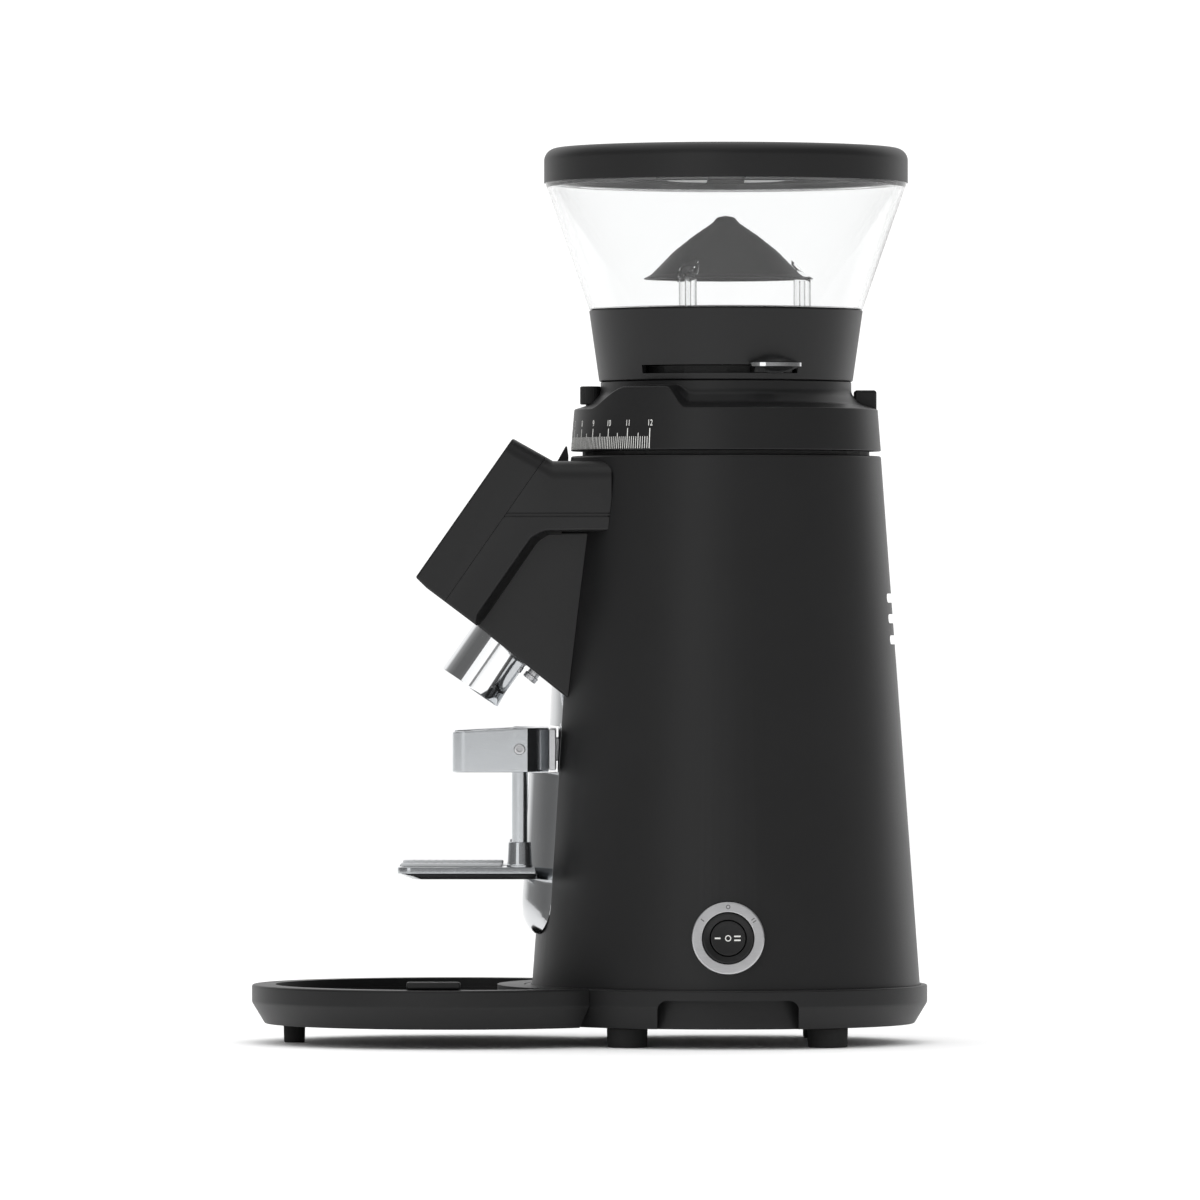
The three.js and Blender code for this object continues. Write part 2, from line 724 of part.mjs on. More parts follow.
// ---- Burrs and chamber ----
function grindChamber() {
  const chamber = revolved([
    [9, 262],
    [55, 262],
    [55, 305],
    [74.6, 305],
    [74.6, 307],
    [55, 307],
    [55, 326.4],
    [50.2, 326.4],
    [50.2, 285],
    [40, 285],
    [40, 267],
    [9, 267],
  ]);
  return chamber.subtract(slanted(CHUTE_RADIUS - 2, [-30, 293.4], [-70, 260.6]));
}

function upperBurrCarrier() {
  return revolved([
    [BURR_BORE, 288.5],
    [49.9, 288.5],
    [49.9, 326.2],
    [44, 326.2],
    [42, 300],
    [24, 292.5],
    [BURR_BORE, 292.5],
  ]);
}

// A flat burr: a thick ring whose inner half is cut by slanted feeding grooves.
function burr(back, face) {
  const low = Math.min(back, face);
  const high = Math.max(back, face);
  const ring = revolved([
    [BURR_BORE, low],
    [BURR_RADIUS, low],
    [BURR_RADIUS, high],
    [BURR_BORE, high],
  ], MIDDLE_ROUND);
  let cut = ring;
  const grooves = 8;
  for (let i = 0; i < grooves; i++) {
    const groove = new THREE.BoxGeometry(14, 2.4, 3);
    groove.rotateY(face > back ? 0.18 : -0.18);
    groove.translate(23, 0, face);
    groove.rotateZ(0.35).rotateZ((i * 2 * Math.PI) / grooves);
    cut = cut.subtract(solidOf(groove));
  }
  return cut;
}

function lowerBurrCarrier() {
  let carrier = revolved([
    [8.3, 268],
    [14, 268],
    [14, 269],
    [36, 269],
    [36, 274],
    [16, 274],
    [14, 279],
    [8.3, 279],
  ], MIDDLE_ROUND);
  for (let i = 0; i < 3; i++) {
    const sweeper = new THREE.BoxGeometry(4, 5, 9).translate(37, 0, 273.5);
    carrier = carrier.add(solidOf(sweeper.rotateZ((i * 2 * Math.PI) / 3)));
  }
  return carrier;
}

function burrNut() {
  const hex = new THREE.CylinderGeometry(9, 9, 6, 6).rotateX(Math.PI / 2).translate(0, 0, 282.6);
  return solidOf(hex).subtract(disc(5.3, 270, 300, 0, 0, 16));
}

// ---- Motor and electrics ----
function motorMount() {
  let plate = disc(53, 254.3, 261.7, 0, 0, MIDDLE_ROUND);
  for (const degrees of [90, 210, 330]) {
    const arm = new THREE.BoxGeometry(42, 16, 7.4).translate(58, 0, 258);
    plate = plate.add(solidOf(arm.rotateZ(THREE.MathUtils.degToRad(degrees))));
  }
  const clearance = slanted(CHUTE_RADIUS + 0.6, CHUTE_INLET, CHUTE_OUTLET);
  return plate.subtract(disc(12, 250, 270)).subtract(clearance);
}

function motorStator() {
  return revolved([
    [10, 125],
    [54, 125],
    [54, 254],
    [10, 254],
    [10, 246],
    [31, 246],
    [31, 133],
    [10, 133],
  ], MIDDLE_ROUND);
}

function rotorShaft() {
  return revolved([
    [0, 70],
    [6, 70],
    [6, 118],
    [8, 118],
    [8, 140],
    [29.5, 140],
    [29.5, 239],
    [8, 239],
    [8, 277],
    [5, 277],
    [5, 287],
    [0, 287],
  ], MIDDLE_ROUND);
}

function coolingFan() {
  let fan = revolved([[6.3, 98], [12, 98], [12, 113], [44, 113], [44, 115], [6.3, 115]], MIDDLE_ROUND);
  const blades = 7;
  for (let i = 0; i < blades; i++) {
    const blade = new THREE.BoxGeometry(31, 2, 13).rotateX(0.35).translate(27, 0, 107.5);
    fan = fan.add(solidOf(blade.rotateZ((i * 2 * Math.PI) / blades)));
  }
  return fan;
}

function runCapacitor() {
  return disc(19, 15, 88, -42, 46, MIDDLE_ROUND).add(disc(15, 80, 92, -42, 46));
}

function controlBoard() {
  const board = box(-48, 38, -66, 4, 20, 22);
  const relay = box(-40, -20, -56, -40, 21, 38);
  const transformer = box(-8, 26, -58, -26, 21, 44);
  const terminals = box(-44, 10, -8, 2, 21, 32);
  return board.add(relay).add(transformer).add(terminals);
}

function cableGland() {
  const tube = slanted(6.1, [88.2, 17.6], [98.6, 17.6], SMALL_ROUND);
  return tube.subtract(slanted(3.6, [70, 17.6], [120, 17.6], SMALL_ROUND));
}

// ---- Hopper ----
function collarRadius(z) {
  const share = (z - COLLAR_BOTTOM) / (COLLAR_TOP - COLLAR_BOTTOM);
  return between(65.9, 71.2, share);
}

// Four slices that beans fall through.
function beanOpenings(bottom, top) {
  let openings = null;
  for (let i = 0; i < SHUTTER_OPENINGS; i++) {
    const middle = (i * 360) / SHUTTER_OPENINGS;
    const half = SHUTTER_OPENING_ANGLE / 2;
    const wedge = solidOf(upright(slice(THROAT_RADIUS, middle - half, middle + half), bottom, top));
    openings = openings ? openings.add(wedge) : wedge;
  }
  return openings.subtract(disc(8, bottom - 1, top + 1));
}

function hopperCollar() {
  const collar = revolved([
    [42, 335],
    [48.7, 335],
    [48.7, COLLAR_BOTTOM],
    [65.9, COLLAR_BOTTOM],
    [71.2, COLLAR_TOP],
    [68.2, COLLAR_TOP],
    [collarRadius(355) - WALL, 355],
    [0, 355],
    [0, 351.6],
    [collarRadius(351.6) - WALL, 351.6],
    [collarRadius(346.6) - WALL, 346.6],
    [42, 346.6],
  ]);
  const slot = solidOf(upright(slice(90, -41, 33), 346.8, 351.2, 10)).subtract(disc(60, 340, 360));
  return collar.subtract(slot).subtract(beanOpenings(350, 357));
}

function shutterDisc() {
  const plate = disc(58, 347.1, 350.9, 0, 0, ROUND);
  const lever = solidOf(upright(slice(67.6, 12, 29.6), 347.1, 350.9));
  return plate.add(lever).subtract(beanOpenings(346, 352));
}

function shutterTab() {
  const lens = new THREE.SphereGeometry(1, 16, 8).scale(9, 14, 4.9);
  lens.translate(70, 0, 351.1).rotateZ(THREE.MathUtils.degToRad(20.8));
  return solidOf(lens).subtract(disc(68.1, 330, 370, 0, 0, ROUND));
}

function hopperRadius(z) {
  return between(71.1, HOPPER_TOP_RADIUS, (z - 381) / (HOPPER_TOP - 381));
}

// The clear hopper: flared wall, funnel floor, three posts and a lip inside the lid.
function hopper() {
  let shell = revolved([
    [THROAT_RADIUS, 364],
    [66, 377.6],
    [67.6, 381],
    [71.1, 381],
    [HOPPER_TOP_RADIUS, HOPPER_TOP],
    [90.8, HOPPER_TOP],
    [90.8, 449.6],
    [88.3, 449.6],
    [hopperRadius(440) - WALL, 440],
    [hopperRadius(384) - WALL, 384],
    [66, 380.4],
    [THROAT_RADIUS, 366.8],
  ]);
  for (const degrees of POST_ANGLES) {
    const angle = THREE.MathUtils.degToRad(degrees);
    const x = POST_CIRCLE * Math.cos(angle);
    const y = POST_CIRCLE * Math.sin(angle);
    shell = shell.add(disc(4.5, 368, 405, x, y, 16));
  }
  return shell;
}

// The cone that keeps fingers out of the burrs, notched where it sits over the posts.
function guardCone() {
  let cone = revolved([
    [43.6, 396.9],
    [39, 398.6],
    [34.3, 403.3],
    [27.6, 410.6],
    [10.4, 423.3],
    [0, 430],
    [0, 427],
    [9, 421],
    [25.8, 408.4],
    [36.6, 396.9],
  ], MIDDLE_ROUND);
  for (const degrees of POST_ANGLES) {
    const angle = THREE.MathUtils.degToRad(degrees);
    const x = POST_CIRCLE * Math.cos(angle);
    const y = POST_CIRCLE * Math.sin(angle);
    cone = cone.subtract(disc(4.8, 380, 405.3, x, y, 16));
  }
  return cone;
}

// The half-moon shape of the two finger recesses, grown outwards by a wall.
function gripHollows(grow, bottom, top) {
  const bowl = revolved([
    [0, bottom],
    [GRIP_RADIUS - 6 + grow, bottom],
    [GRIP_RADIUS + grow, bottom + 8],
    [GRIP_RADIUS + grow, top],
    [0, top],
  ], MIDDLE_ROUND);
  const bar = GRIP_HALF_BAR - grow;
  return bowl.subtract(box(-60, 60, -bar, bar, bottom - 1, top + 1));
}

function hopperLid() {
  const lid = revolved([
    [91.4, LID_BOTTOM],
    [LID_RADIUS, LID_BOTTOM],
    [LID_RADIUS, 458.3],
    [92.7, 462.9],
    [88.1, LID_TOP],
    [0, LID_TOP],
    [0, 461.6],
    [85.6, 461.6],
    [85.6, 452.8],
    [91.4, 452.8],
  ]);
  return lid.add(gripHollows(2.3, 445.4, 463)).subtract(gripHollows(0, 447.8, 470));
}

function lidSeal() {
  return revolved([[88, 449.9], [91.1, 449.9], [91.1, 452.5], [88, 452.5]]);
}

// ---- Assembly ----
const grinder = new THREE.Group();
grinder.position.y = BODY_Y;

const SIDES = [["left", -1], ["right", 1]];
const ENDS = [["front", -1], ["rear", 1]];

grinder.add(
  part("base_ring", baseRing(), blackPaint),
  part("bottom_cover", bottomCover(), blackPaint),
  part("body_shell", bodyShell(), blackPaint),
  part("front_shield", frontShield(), chrome),
  part("switch_bezel", switchBezel(), brushedSteel),
  part("switch_housing", switchHousing(), blackPlastic),
  part("rocker", rocker(), blackPlastic),
  part("head_front_cover", headFrontCover(), blackPlastic),
  part("head_shell", headShell(), blackPlastic),
  part("head_fairing", headFairing(), blackPlastic),
  part("display_glass", displayGlass(), darkGlass),
  part("display_board", displayBoard(), greenBoard),
  part("index_pointer", indexPointer(), blackPlastic),
  part("spout", spout(), chrome),
  part("chute", chute(), aluminium),
  part("start_button", startButton(), chrome),
  part("button_spring", buttonSpring(), brushedSteel),
  part("yoke", yoke(), chrome),
  part("yoke_bracket", yokeBracket(), brushedSteel),
  part("fork_plate", forkPlate(), chrome),
  part("dial_ring", dialRing(), blackPaint),
  part("lock_knob", lockKnob(), blackPlastic),
  part("upper_burr_carrier", upperBurrCarrier(), brushedSteel),
  part("upper_burr", burr(288.2, BURR_PARTING + 0.3), burrSteel),
  part("lower_burr", burr(274.3, BURR_PARTING - 0.3), burrSteel),
  part("lower_burr_carrier", lowerBurrCarrier(), aluminium),
  part("burr_nut", burrNut(), brushedSteel),
  part("grind_chamber", grindChamber(), aluminium),
  part("motor_mount", motorMount(), aluminium),
  part("motor_stator", motorStator(), castIron),
  part("rotor_shaft", rotorShaft(), brushedSteel),
  part("cooling_fan", coolingFan(), blackPlastic),
  part("run_capacitor", runCapacitor(), greyPlastic),
  part("control_board", controlBoard(), greenBoard),
  part("cable_gland", cableGland(), blackPlastic),
  part("hopper_collar", hopperCollar(), blackPaint),
  part("shutter_disc", shutterDisc(), blackPlastic),
  part("shutter_tab", shutterTab(), chrome),
  part("hopper", hopper(), clear),
  part("guard_cone", guardCone(), blackPlastic),
  part("hopper_lid", hopperLid(), blackPlastic),
  part("lid_seal", lidSeal(), rubber),
  part("drip_tray", trayDish(), blackPlastic),
  part("tray_foot", foot(5.7, 0, -224.4), rubber),
  part("tray_liner", trayLiner(), blackPlastic),
);

for (const [side, sign] of SIDES) {
  grinder.add(
    part(`yoke_screw_${side}`, setScrew(sign), brushedSteel),
    part(`fork_rod_${side}`, forkRod(sign), chrome),
    part(`fork_pad_${side}`, forkPad(sign), padRubber),
  );
  for (const [end, along] of ENDS) {
    grinder.add(part(`foot_${end}_${side}`, foot(10.5, 66 * sign, 51.5 * along), rubber));
  }
}

export default grinder;
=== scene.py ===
import math

import bmesh
import bpy
from mathutils import Matrix, Vector


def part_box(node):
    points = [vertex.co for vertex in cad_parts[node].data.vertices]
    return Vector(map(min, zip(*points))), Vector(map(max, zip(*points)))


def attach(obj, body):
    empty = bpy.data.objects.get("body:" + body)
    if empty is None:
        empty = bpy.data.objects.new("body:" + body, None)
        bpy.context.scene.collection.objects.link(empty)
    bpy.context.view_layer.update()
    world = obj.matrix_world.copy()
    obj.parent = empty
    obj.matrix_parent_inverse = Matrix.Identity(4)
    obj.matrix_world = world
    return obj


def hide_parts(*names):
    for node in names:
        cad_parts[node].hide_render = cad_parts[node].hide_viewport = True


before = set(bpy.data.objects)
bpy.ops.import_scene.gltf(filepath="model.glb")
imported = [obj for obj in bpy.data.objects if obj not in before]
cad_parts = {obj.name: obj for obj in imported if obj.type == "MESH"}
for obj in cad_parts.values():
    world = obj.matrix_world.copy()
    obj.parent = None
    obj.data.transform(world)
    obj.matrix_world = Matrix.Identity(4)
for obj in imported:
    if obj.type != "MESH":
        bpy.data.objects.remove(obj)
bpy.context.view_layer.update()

# Shapes are drawn in millimetres about the housing's upright axis, and piece() takes them to metres.
# The front is -Y, the switch side +X, and azimuths are degrees from +X towards +Y.
MM = 0.001
ROUND = 144  # facets round a turned shape
SMALL_ROUND = 64
GAP = 0.3  # clearance between neighbours
SEATED = 0.25  # clearance of what hugs the housing or the guard

shell_low, shell_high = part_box("body_shell")
AXIS_Y = (shell_low.y + shell_high.y) / 2


def span(cad_node):
    """Lowest and highest corner of a CAD node, in millimetres about the housing's axis."""
    low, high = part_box(cad_node)
    axis = Vector((0, AXIS_Y, 0))
    return (low - axis) / MM, (high - axis) / MM


# ---- Driving dimensions, from the frame ----
BODY_LOW, BODY_HIGH = span("body_shell")
BODY_BOTTOM = BODY_LOW.z
BODY_TOP = BODY_HIGH.z
BODY_BOTTOM_RADIUS = BODY_HIGH.y
BODY_TOP_RADIUS = 80.6
WALL = 3
BASE_LOW, BASE_HIGH = span("base_ring")
BASE_RADIUS = BASE_HIGH.y
BASE_BOTTOM = BASE_LOW.z
BASE_TOP = BASE_HIGH.z
BASE_WAIST = 21.3
BASE_SOLE_RADIUS = 98
TRAY_Y = span("drip_tray")[0].y + BASE_RADIUS
TRAY_LAND_RADIUS = 118.9  # the tray has no well nearer to the housing's axis than this
SHIELD_LOW, SHIELD_HIGH = span("front_shield")
SWITCH_Z = 57
GLAND_Z = 17.6
FACE_CENTRE = (-135.25, 277.25)
FACE_TILT = math.radians(55.07)
COVER_DEPTH = 19
SPOUT_END = (-133.1, 184.3)
SPOUT_HOLE = 17.8
BUTTON_FOOT = (-99.2, 192.8)
BUTTON_OUT = Vector((0, -0.6257, -0.7801))
PORTAFILTER_Y = -134
YOKE_LOW, YOKE_HIGH = span("yoke")
SCREW_Z = 153
FORK_TOP = 92.1
ROD_LOW, ROD_HIGH = span("fork_rod_right")
ROD_X = (ROD_LOW.x + ROD_HIGH.x) / 2
ROD_Y = (ROD_LOW.y + ROD_HIGH.y) / 2
ROD_RADIUS = (ROD_HIGH.x - ROD_LOW.x) / 2
DIAL_LOW = span("dial_ring")[0]
KNOB_LOW, KNOB_HIGH = span("lock_knob")
KNOB_Y = (KNOB_LOW.y + KNOB_HIGH.y) / 2
COLLAR_BOTTOM = 343.5
COLLAR_TOP = span("hopper_collar")[1].z
LID_LOW, LID_HIGH = span("hopper_lid")
LID_RADIUS = LID_HIGH.y
LID_BOTTOM = 446.7
GRIP_BOTTOM = LID_LOW.z + 2.8
POST_CIRCLE = 39.7
POST_ANGLES = (90, 210, 330)
POST_TOP = 402


# ---- Outlines ----
def evenly(start, end, steps):
    """Numbers from start to end, both included, in equal steps."""
    return [start + (end - start) * i / steps for i in range(steps + 1)]


def rectangle(x0, x1, y0, y1, radius=0.0):
    """Corners for outline(), all rounded alike."""
    return [(x0, y0, radius), (x1, y0, radius), (x1, y1, radius), (x0, y1, radius)]


def centred(half_width, half_height, radius=0.0):
    return rectangle(-half_width, half_width, -half_height, half_height, radius)


def outline(corners, inset=0.0, steps=None):
    """Points round a closed outline of corners (x, y) or (x, y, radius), drawn in by inset."""
    area = sum(a[0] * b[1] - b[0] * a[1] for a, b in zip(corners, [*corners[1:], corners[0]]))
    if area < 0:
        corners = corners[::-1]
    count = len(corners)
    places = [Vector(corner[:2]) for corner in corners]
    points = []
    for i, corner in enumerate(corners):
        before = (places[i] - places[i - 1]).normalized()
        after = (places[(i + 1) % count] - places[i]).normalized()
        inward_before = Vector((-before.y, before.x))
        inward_after = Vector((-after.y, after.x))
        turn = math.atan2(before.cross(after), before.dot(after))
        inward = (inward_before + inward_after) / (1 + inward_before.dot(inward_after))
        moved = places[i] + inward * inset
        drawn = corner[2] if len(corner) > 2 else 0
        if drawn == 0 or (abs(turn) < 0.01 and not steps):
            points.append(moved)
            continue
        side = math.copysign(1, turn)
        radius = max(drawn - side * inset, 0.02)
        start = moved - before * radius * math.tan(abs(turn) / 2)
        centre = start + inward_before * radius * side
        bends = steps or max(2, math.ceil(abs(turn) * (2 + 2 * math.sqrt(drawn))))
        for step in range(bends + 1):
            swing = Matrix.Rotation(turn * step / bends, 2)
            points.append(centre + swing @ (start - centre))
    return points


def rounded_edge(radius, steps=4):
    """A rounded edge in steps, each as (distance from the end, inset from the side)."""
    angles = evenly(0, math.pi / 2, steps)
    return [(radius * (1 - math.cos(a)), radius * (1 - math.sin(a))) for a in angles]


def rounded_ends(bottom, top, radius, low_radius=None):
    """Heights and insets of a slab whose two ends have rounded edges."""
    rise = rounded_edge(radius if low_radius is None else low_radius)
    fall = reversed(rounded_edge(radius))
    return [(bottom + far, inset) for far, inset in rise] + [(top - far, inset) for far, inset in fall]


def arc(radius, start, end, steps=24):
    """Points of an arc about the axis between two azimuths."""
    angles = [math.radians(azimuth) for azimuth in evenly(start, end, steps)]
    return [(radius * math.cos(a), radius * math.sin(a)) for a in angles]


# ---- Spaces: where an outline's (u, v) and its depth w go ----
def upright(u, v, w):
    return Vector((u, v, w))


def sideways(u, v, w):
    """Side outlines in (y, z), with depth along x."""
    return Vector((w, u, v))


def frontways(u, v, w):
    """Front outlines in (x, z), with depth along y."""
    return Vector((u, w, v))


def toward(origin, direction):
    """A matrix that takes the upright axis to a line from origin, keeping x level."""
    up = Vector(direction).normalized()
    across = Vector((1, 0, 0)) if abs(up.x) < 0.9 else Vector((0, 1, 0))
    depth = up.cross(across).normalized()
    across = depth.cross(up)
    turn = Matrix((across, depth, up)).transposed().to_4x4()
    return Matrix.Translation(origin) @ turn


FACE = Matrix.Translation((0, *FACE_CENTRE)) @ Matrix.Rotation(FACE_TILT, 4, "X")
SPOUT_AXIS = toward((0, *SPOUT_END), (0, math.cos(FACE_TILT), math.sin(FACE_TILT)))
BUTTON_AXIS = toward((0, *BUTTON_FOOT), BUTTON_OUT)


def on_face(u, v, w):
    """Display-face outlines: u across, v up the face, w out of it."""
    return FACE @ Vector((u, v, w))


def body_radius(z):
    share = (z - BODY_BOTTOM) / (BODY_TOP - BODY_BOTTOM)
    return BODY_BOTTOM_RADIUS + (BODY_TOP_RADIUS - BODY_BOTTOM_RADIUS) * share


BODY_LEAN = math.atan2(BODY_BOTTOM_RADIUS - BODY_TOP_RADIUS, BODY_TOP - BODY_BOTTOM)
SWITCH_TURN = Matrix.Rotation(math.pi / 2 - BODY_LEAN, 4, "Y")
SWITCH = Matrix.Translation((body_radius(SWITCH_Z), 0, SWITCH_Z)) @ SWITCH_TURN


# ---- Solids ----
def place_in_scene(name, data):
    made = bpy.data.objects.new(name, data)
    bpy.context.scene.collection.objects.link(made)
    return made


def as_mesh(name, shape):
    """The mesh of a shape, which is used up."""
    mesh = bpy.data.meshes.new(name)
    shape.to_mesh(mesh)
    shape.free()
    return mesh


def clean(shape):
    bmesh.ops.remove_doubles(shape, verts=shape.verts, dist=1e-4)
    bmesh.ops.dissolve_degenerate(shape, edges=shape.edges, dist=1e-5)
    bmesh.ops.recalc_face_normals(shape, faces=shape.faces)
    return shape


def loft(loops):
    """A closed solid through loops of equally many points."""
    shape = bmesh.new()
    rings = [[shape.verts.new(point) for point in loop] for loop in loops]
    for low, high in zip(rings, rings[1:]):
        for i in range(len(low)):
            shape.faces.new((low[i - 1], low[i], high[i], high[i - 1]))
    shape.faces.new(rings[0][::-1])
    shape.faces.new(rings[-1])
    return clean(shape)


def slab(corners, levels, space=upright):
    """An outline stacked at levels of (depth, inset)."""
    return loft([[space(p.x, p.y, depth) for p in outline(corners, inset)] for depth, inset in levels])


def lathe(corners, place=None, segments=ROUND, profile_at=None):
    """A closed (radius, height) outline turned about the axis. profile_at gives one for each azimuth."""
    shape = bmesh.new()
    fixed = None if profile_at else outline(corners)
    columns = []
    for i in range(segments):
        angle = 2 * math.pi * i / segments
        profile = fixed or profile_at(math.degrees(angle))
        columns.append([
            shape.verts.new((p.x * math.cos(angle), p.x * math.sin(angle), p.y)) for p in profile
        ])
    for i in range(segments):
        here, after = columns[i - 1], columns[i]
        for j in range(len(here)):
            shape.faces.new((here[j - 1], after[j - 1], after[j], here[j]))
    clean(shape)
    if place:
        shape.transform(place)
    return shape


def rod(radius, bottom, top, place=None, x=0, y=0, segments=SMALL_ROUND):
    place = place or Matrix.Translation((x, y, 0))
    return lathe([(0, bottom), (radius, bottom), (radius, top), (0, top)], place, segments)


def block(x0, x1, y0, y1, z0, z1, radius=0.0):
    levels = rounded_ends(z0, z1, radius) if radius else [(z0, 0), (z1, 0)]
    return slab(rectangle(x0, x1, y0, y1, radius), levels)


def sector(inner, outer, start, end, bottom, top):
    points = arc(outer, start, end) + arc(inner, end, start)
    return loft([[Vector((x, y, z)) for x, y in points] for z in (bottom, top)])


def combine(base, tool, operation):
    """Two solids joined (UNION), cut (DIFFERENCE) or overlapped (INTERSECT)."""
    holders = [place_in_scene("work", as_mesh("work", shape)) for shape in (base, tool)]
    modifier = holders[0].modifiers.new("combine", "BOOLEAN")
    modifier.operation = operation
    modifier.solver = "EXACT"
    modifier.object = holders[1]
    result = bmesh.new()
    result.from_object(holders[0], bpy.context.evaluated_depsgraph_get())
    for holder in holders:
        mesh = holder.data
        bpy.data.objects.remove(holder)
        bpy.data.meshes.remove(mesh)
    return clean(result)


def cut(base, *tools):
    for tool in tools:
        base = combine(base, tool, "DIFFERENCE")
    return base


def join(base, *tools):
    for tool in tools:
        base = combine(base, tool, "UNION")
    return base


def overlap(base, tool):
    return combine(base, tool, "INTERSECT")


def gather(shapes):
    """Several separate solids as one shape."""
    result = bmesh.new()
    for shape in shapes:
        mesh = as_mesh("work", shape)
        result.from_mesh(mesh)
        bpy.data.meshes.remove(mesh)
    return result


# ---- Materials ----
def add(tree, kind, values=(), **settings):
    """A shader node with its settings, and sockets set or linked from (name, value) pairs."""
    made = tree.nodes.new(kind)
    for name, value in settings.items():
        setattr(made, name, value)
    for name, value in dict(values).items():
        if isinstance(value, bpy.types.NodeSocket):
            tree.links.new(value, made.inputs[name])
        else:
            made.inputs[name].default_value = value
    return made


def shade(colour, factor):
    return (*[min(1, channel * factor) for channel in colour], 1)


def ramp(tree, source, low, high):
    """Noise, which keeps mostly between 0.3 and 0.7, stretched from low to high."""
    made = add(tree, "ShaderNodeMapRange", {"Value": source, "From Min": 0.3, "From Max": 0.7})
    made.inputs["To Min"].default_value = low
    made.inputs["To Max"].default_value = high
    return made.outputs["Result"]


def mixed(tree, factor, first, second):
    """A colour between two, each a colour or a socket."""
    made = add(tree, "ShaderNodeMix", {"Factor": factor}, data_type="RGBA")
    for socket, value in (("A_Color", first), ("B_Color", second)):
        target = next(s for s in made.inputs if s.identifier == socket)
        if isinstance(value, bpy.types.NodeSocket):
            tree.links.new(value, target)
        else:
            target.default_value = value
    return next(s for s in made.outputs if s.identifier == "Result_Color")


def finish(
    name, colour, roughness, spread=0.05, grain=0.5, depth=0.01, mottle=0.08, wear=0.0,
    stretch=(1, 1, 1), blotch=25, sockets=(),
):
    """A surface with a fine grain (size and depth in millimetres), uneven gloss and lighter worn edges."""
    material = bpy.data.materials.new(name)
    material.use_nodes = True
    tree = material.node_tree
    shader = next(n for n in tree.nodes if n.type == "BSDF_PRINCIPLED")
    for socket, value in dict(sockets).items():
        shader.inputs[socket].default_value = value
    place = add(tree, "ShaderNodeTexCoord").outputs["Object"]
    along = add(tree, "ShaderNodeMapping", {"Vector": place, "Scale": stretch}).outputs["Vector"]
    fine = add(tree, "ShaderNodeTexNoise", {"Vector": along, "Scale": 1 / (grain * MM), "Detail": 3})
    broad = add(tree, "ShaderNodeTexNoise", {"Vector": place, "Scale": 1 / (blotch * MM), "Detail": 4})
    uneven = add(tree, "ShaderNodeMath", {0: fine.outputs["Fac"], 1: broad.outputs["Fac"]})
    half = add(tree, "ShaderNodeMath", {0: uneven.outputs[0], 1: 0.5}, operation="MULTIPLY").outputs[0]
    tree.links.new(
        ramp(tree, half, max(0.01, roughness - spread), roughness + spread), shader.inputs["Roughness"]
    )
    tone = mixed(
        tree, ramp(tree, half, 0, 1), shade(colour, 1 - mottle), shade(colour, 1 + mottle)
    )
    if wear:
        edge = add(tree, "ShaderNodeNewGeometry").outputs["Pointiness"]
        worn = add(tree, "ShaderNodeMapRange", {"Value": edge, "From Min": 0.53, "From Max": 0.62})
        worn.inputs["To Max"].default_value = wear
        tone = mixed(tree, worn.outputs["Result"], tone, shade(colour, 3))
    tree.links.new(tone, shader.inputs["Base Color"])
    bump = add(tree, "ShaderNodeBump", {"Height": fine.outputs["Fac"], "Distance": depth * MM})
    tree.links.new(bump.outputs["Normal"], shader.inputs["Normal"])
    return material


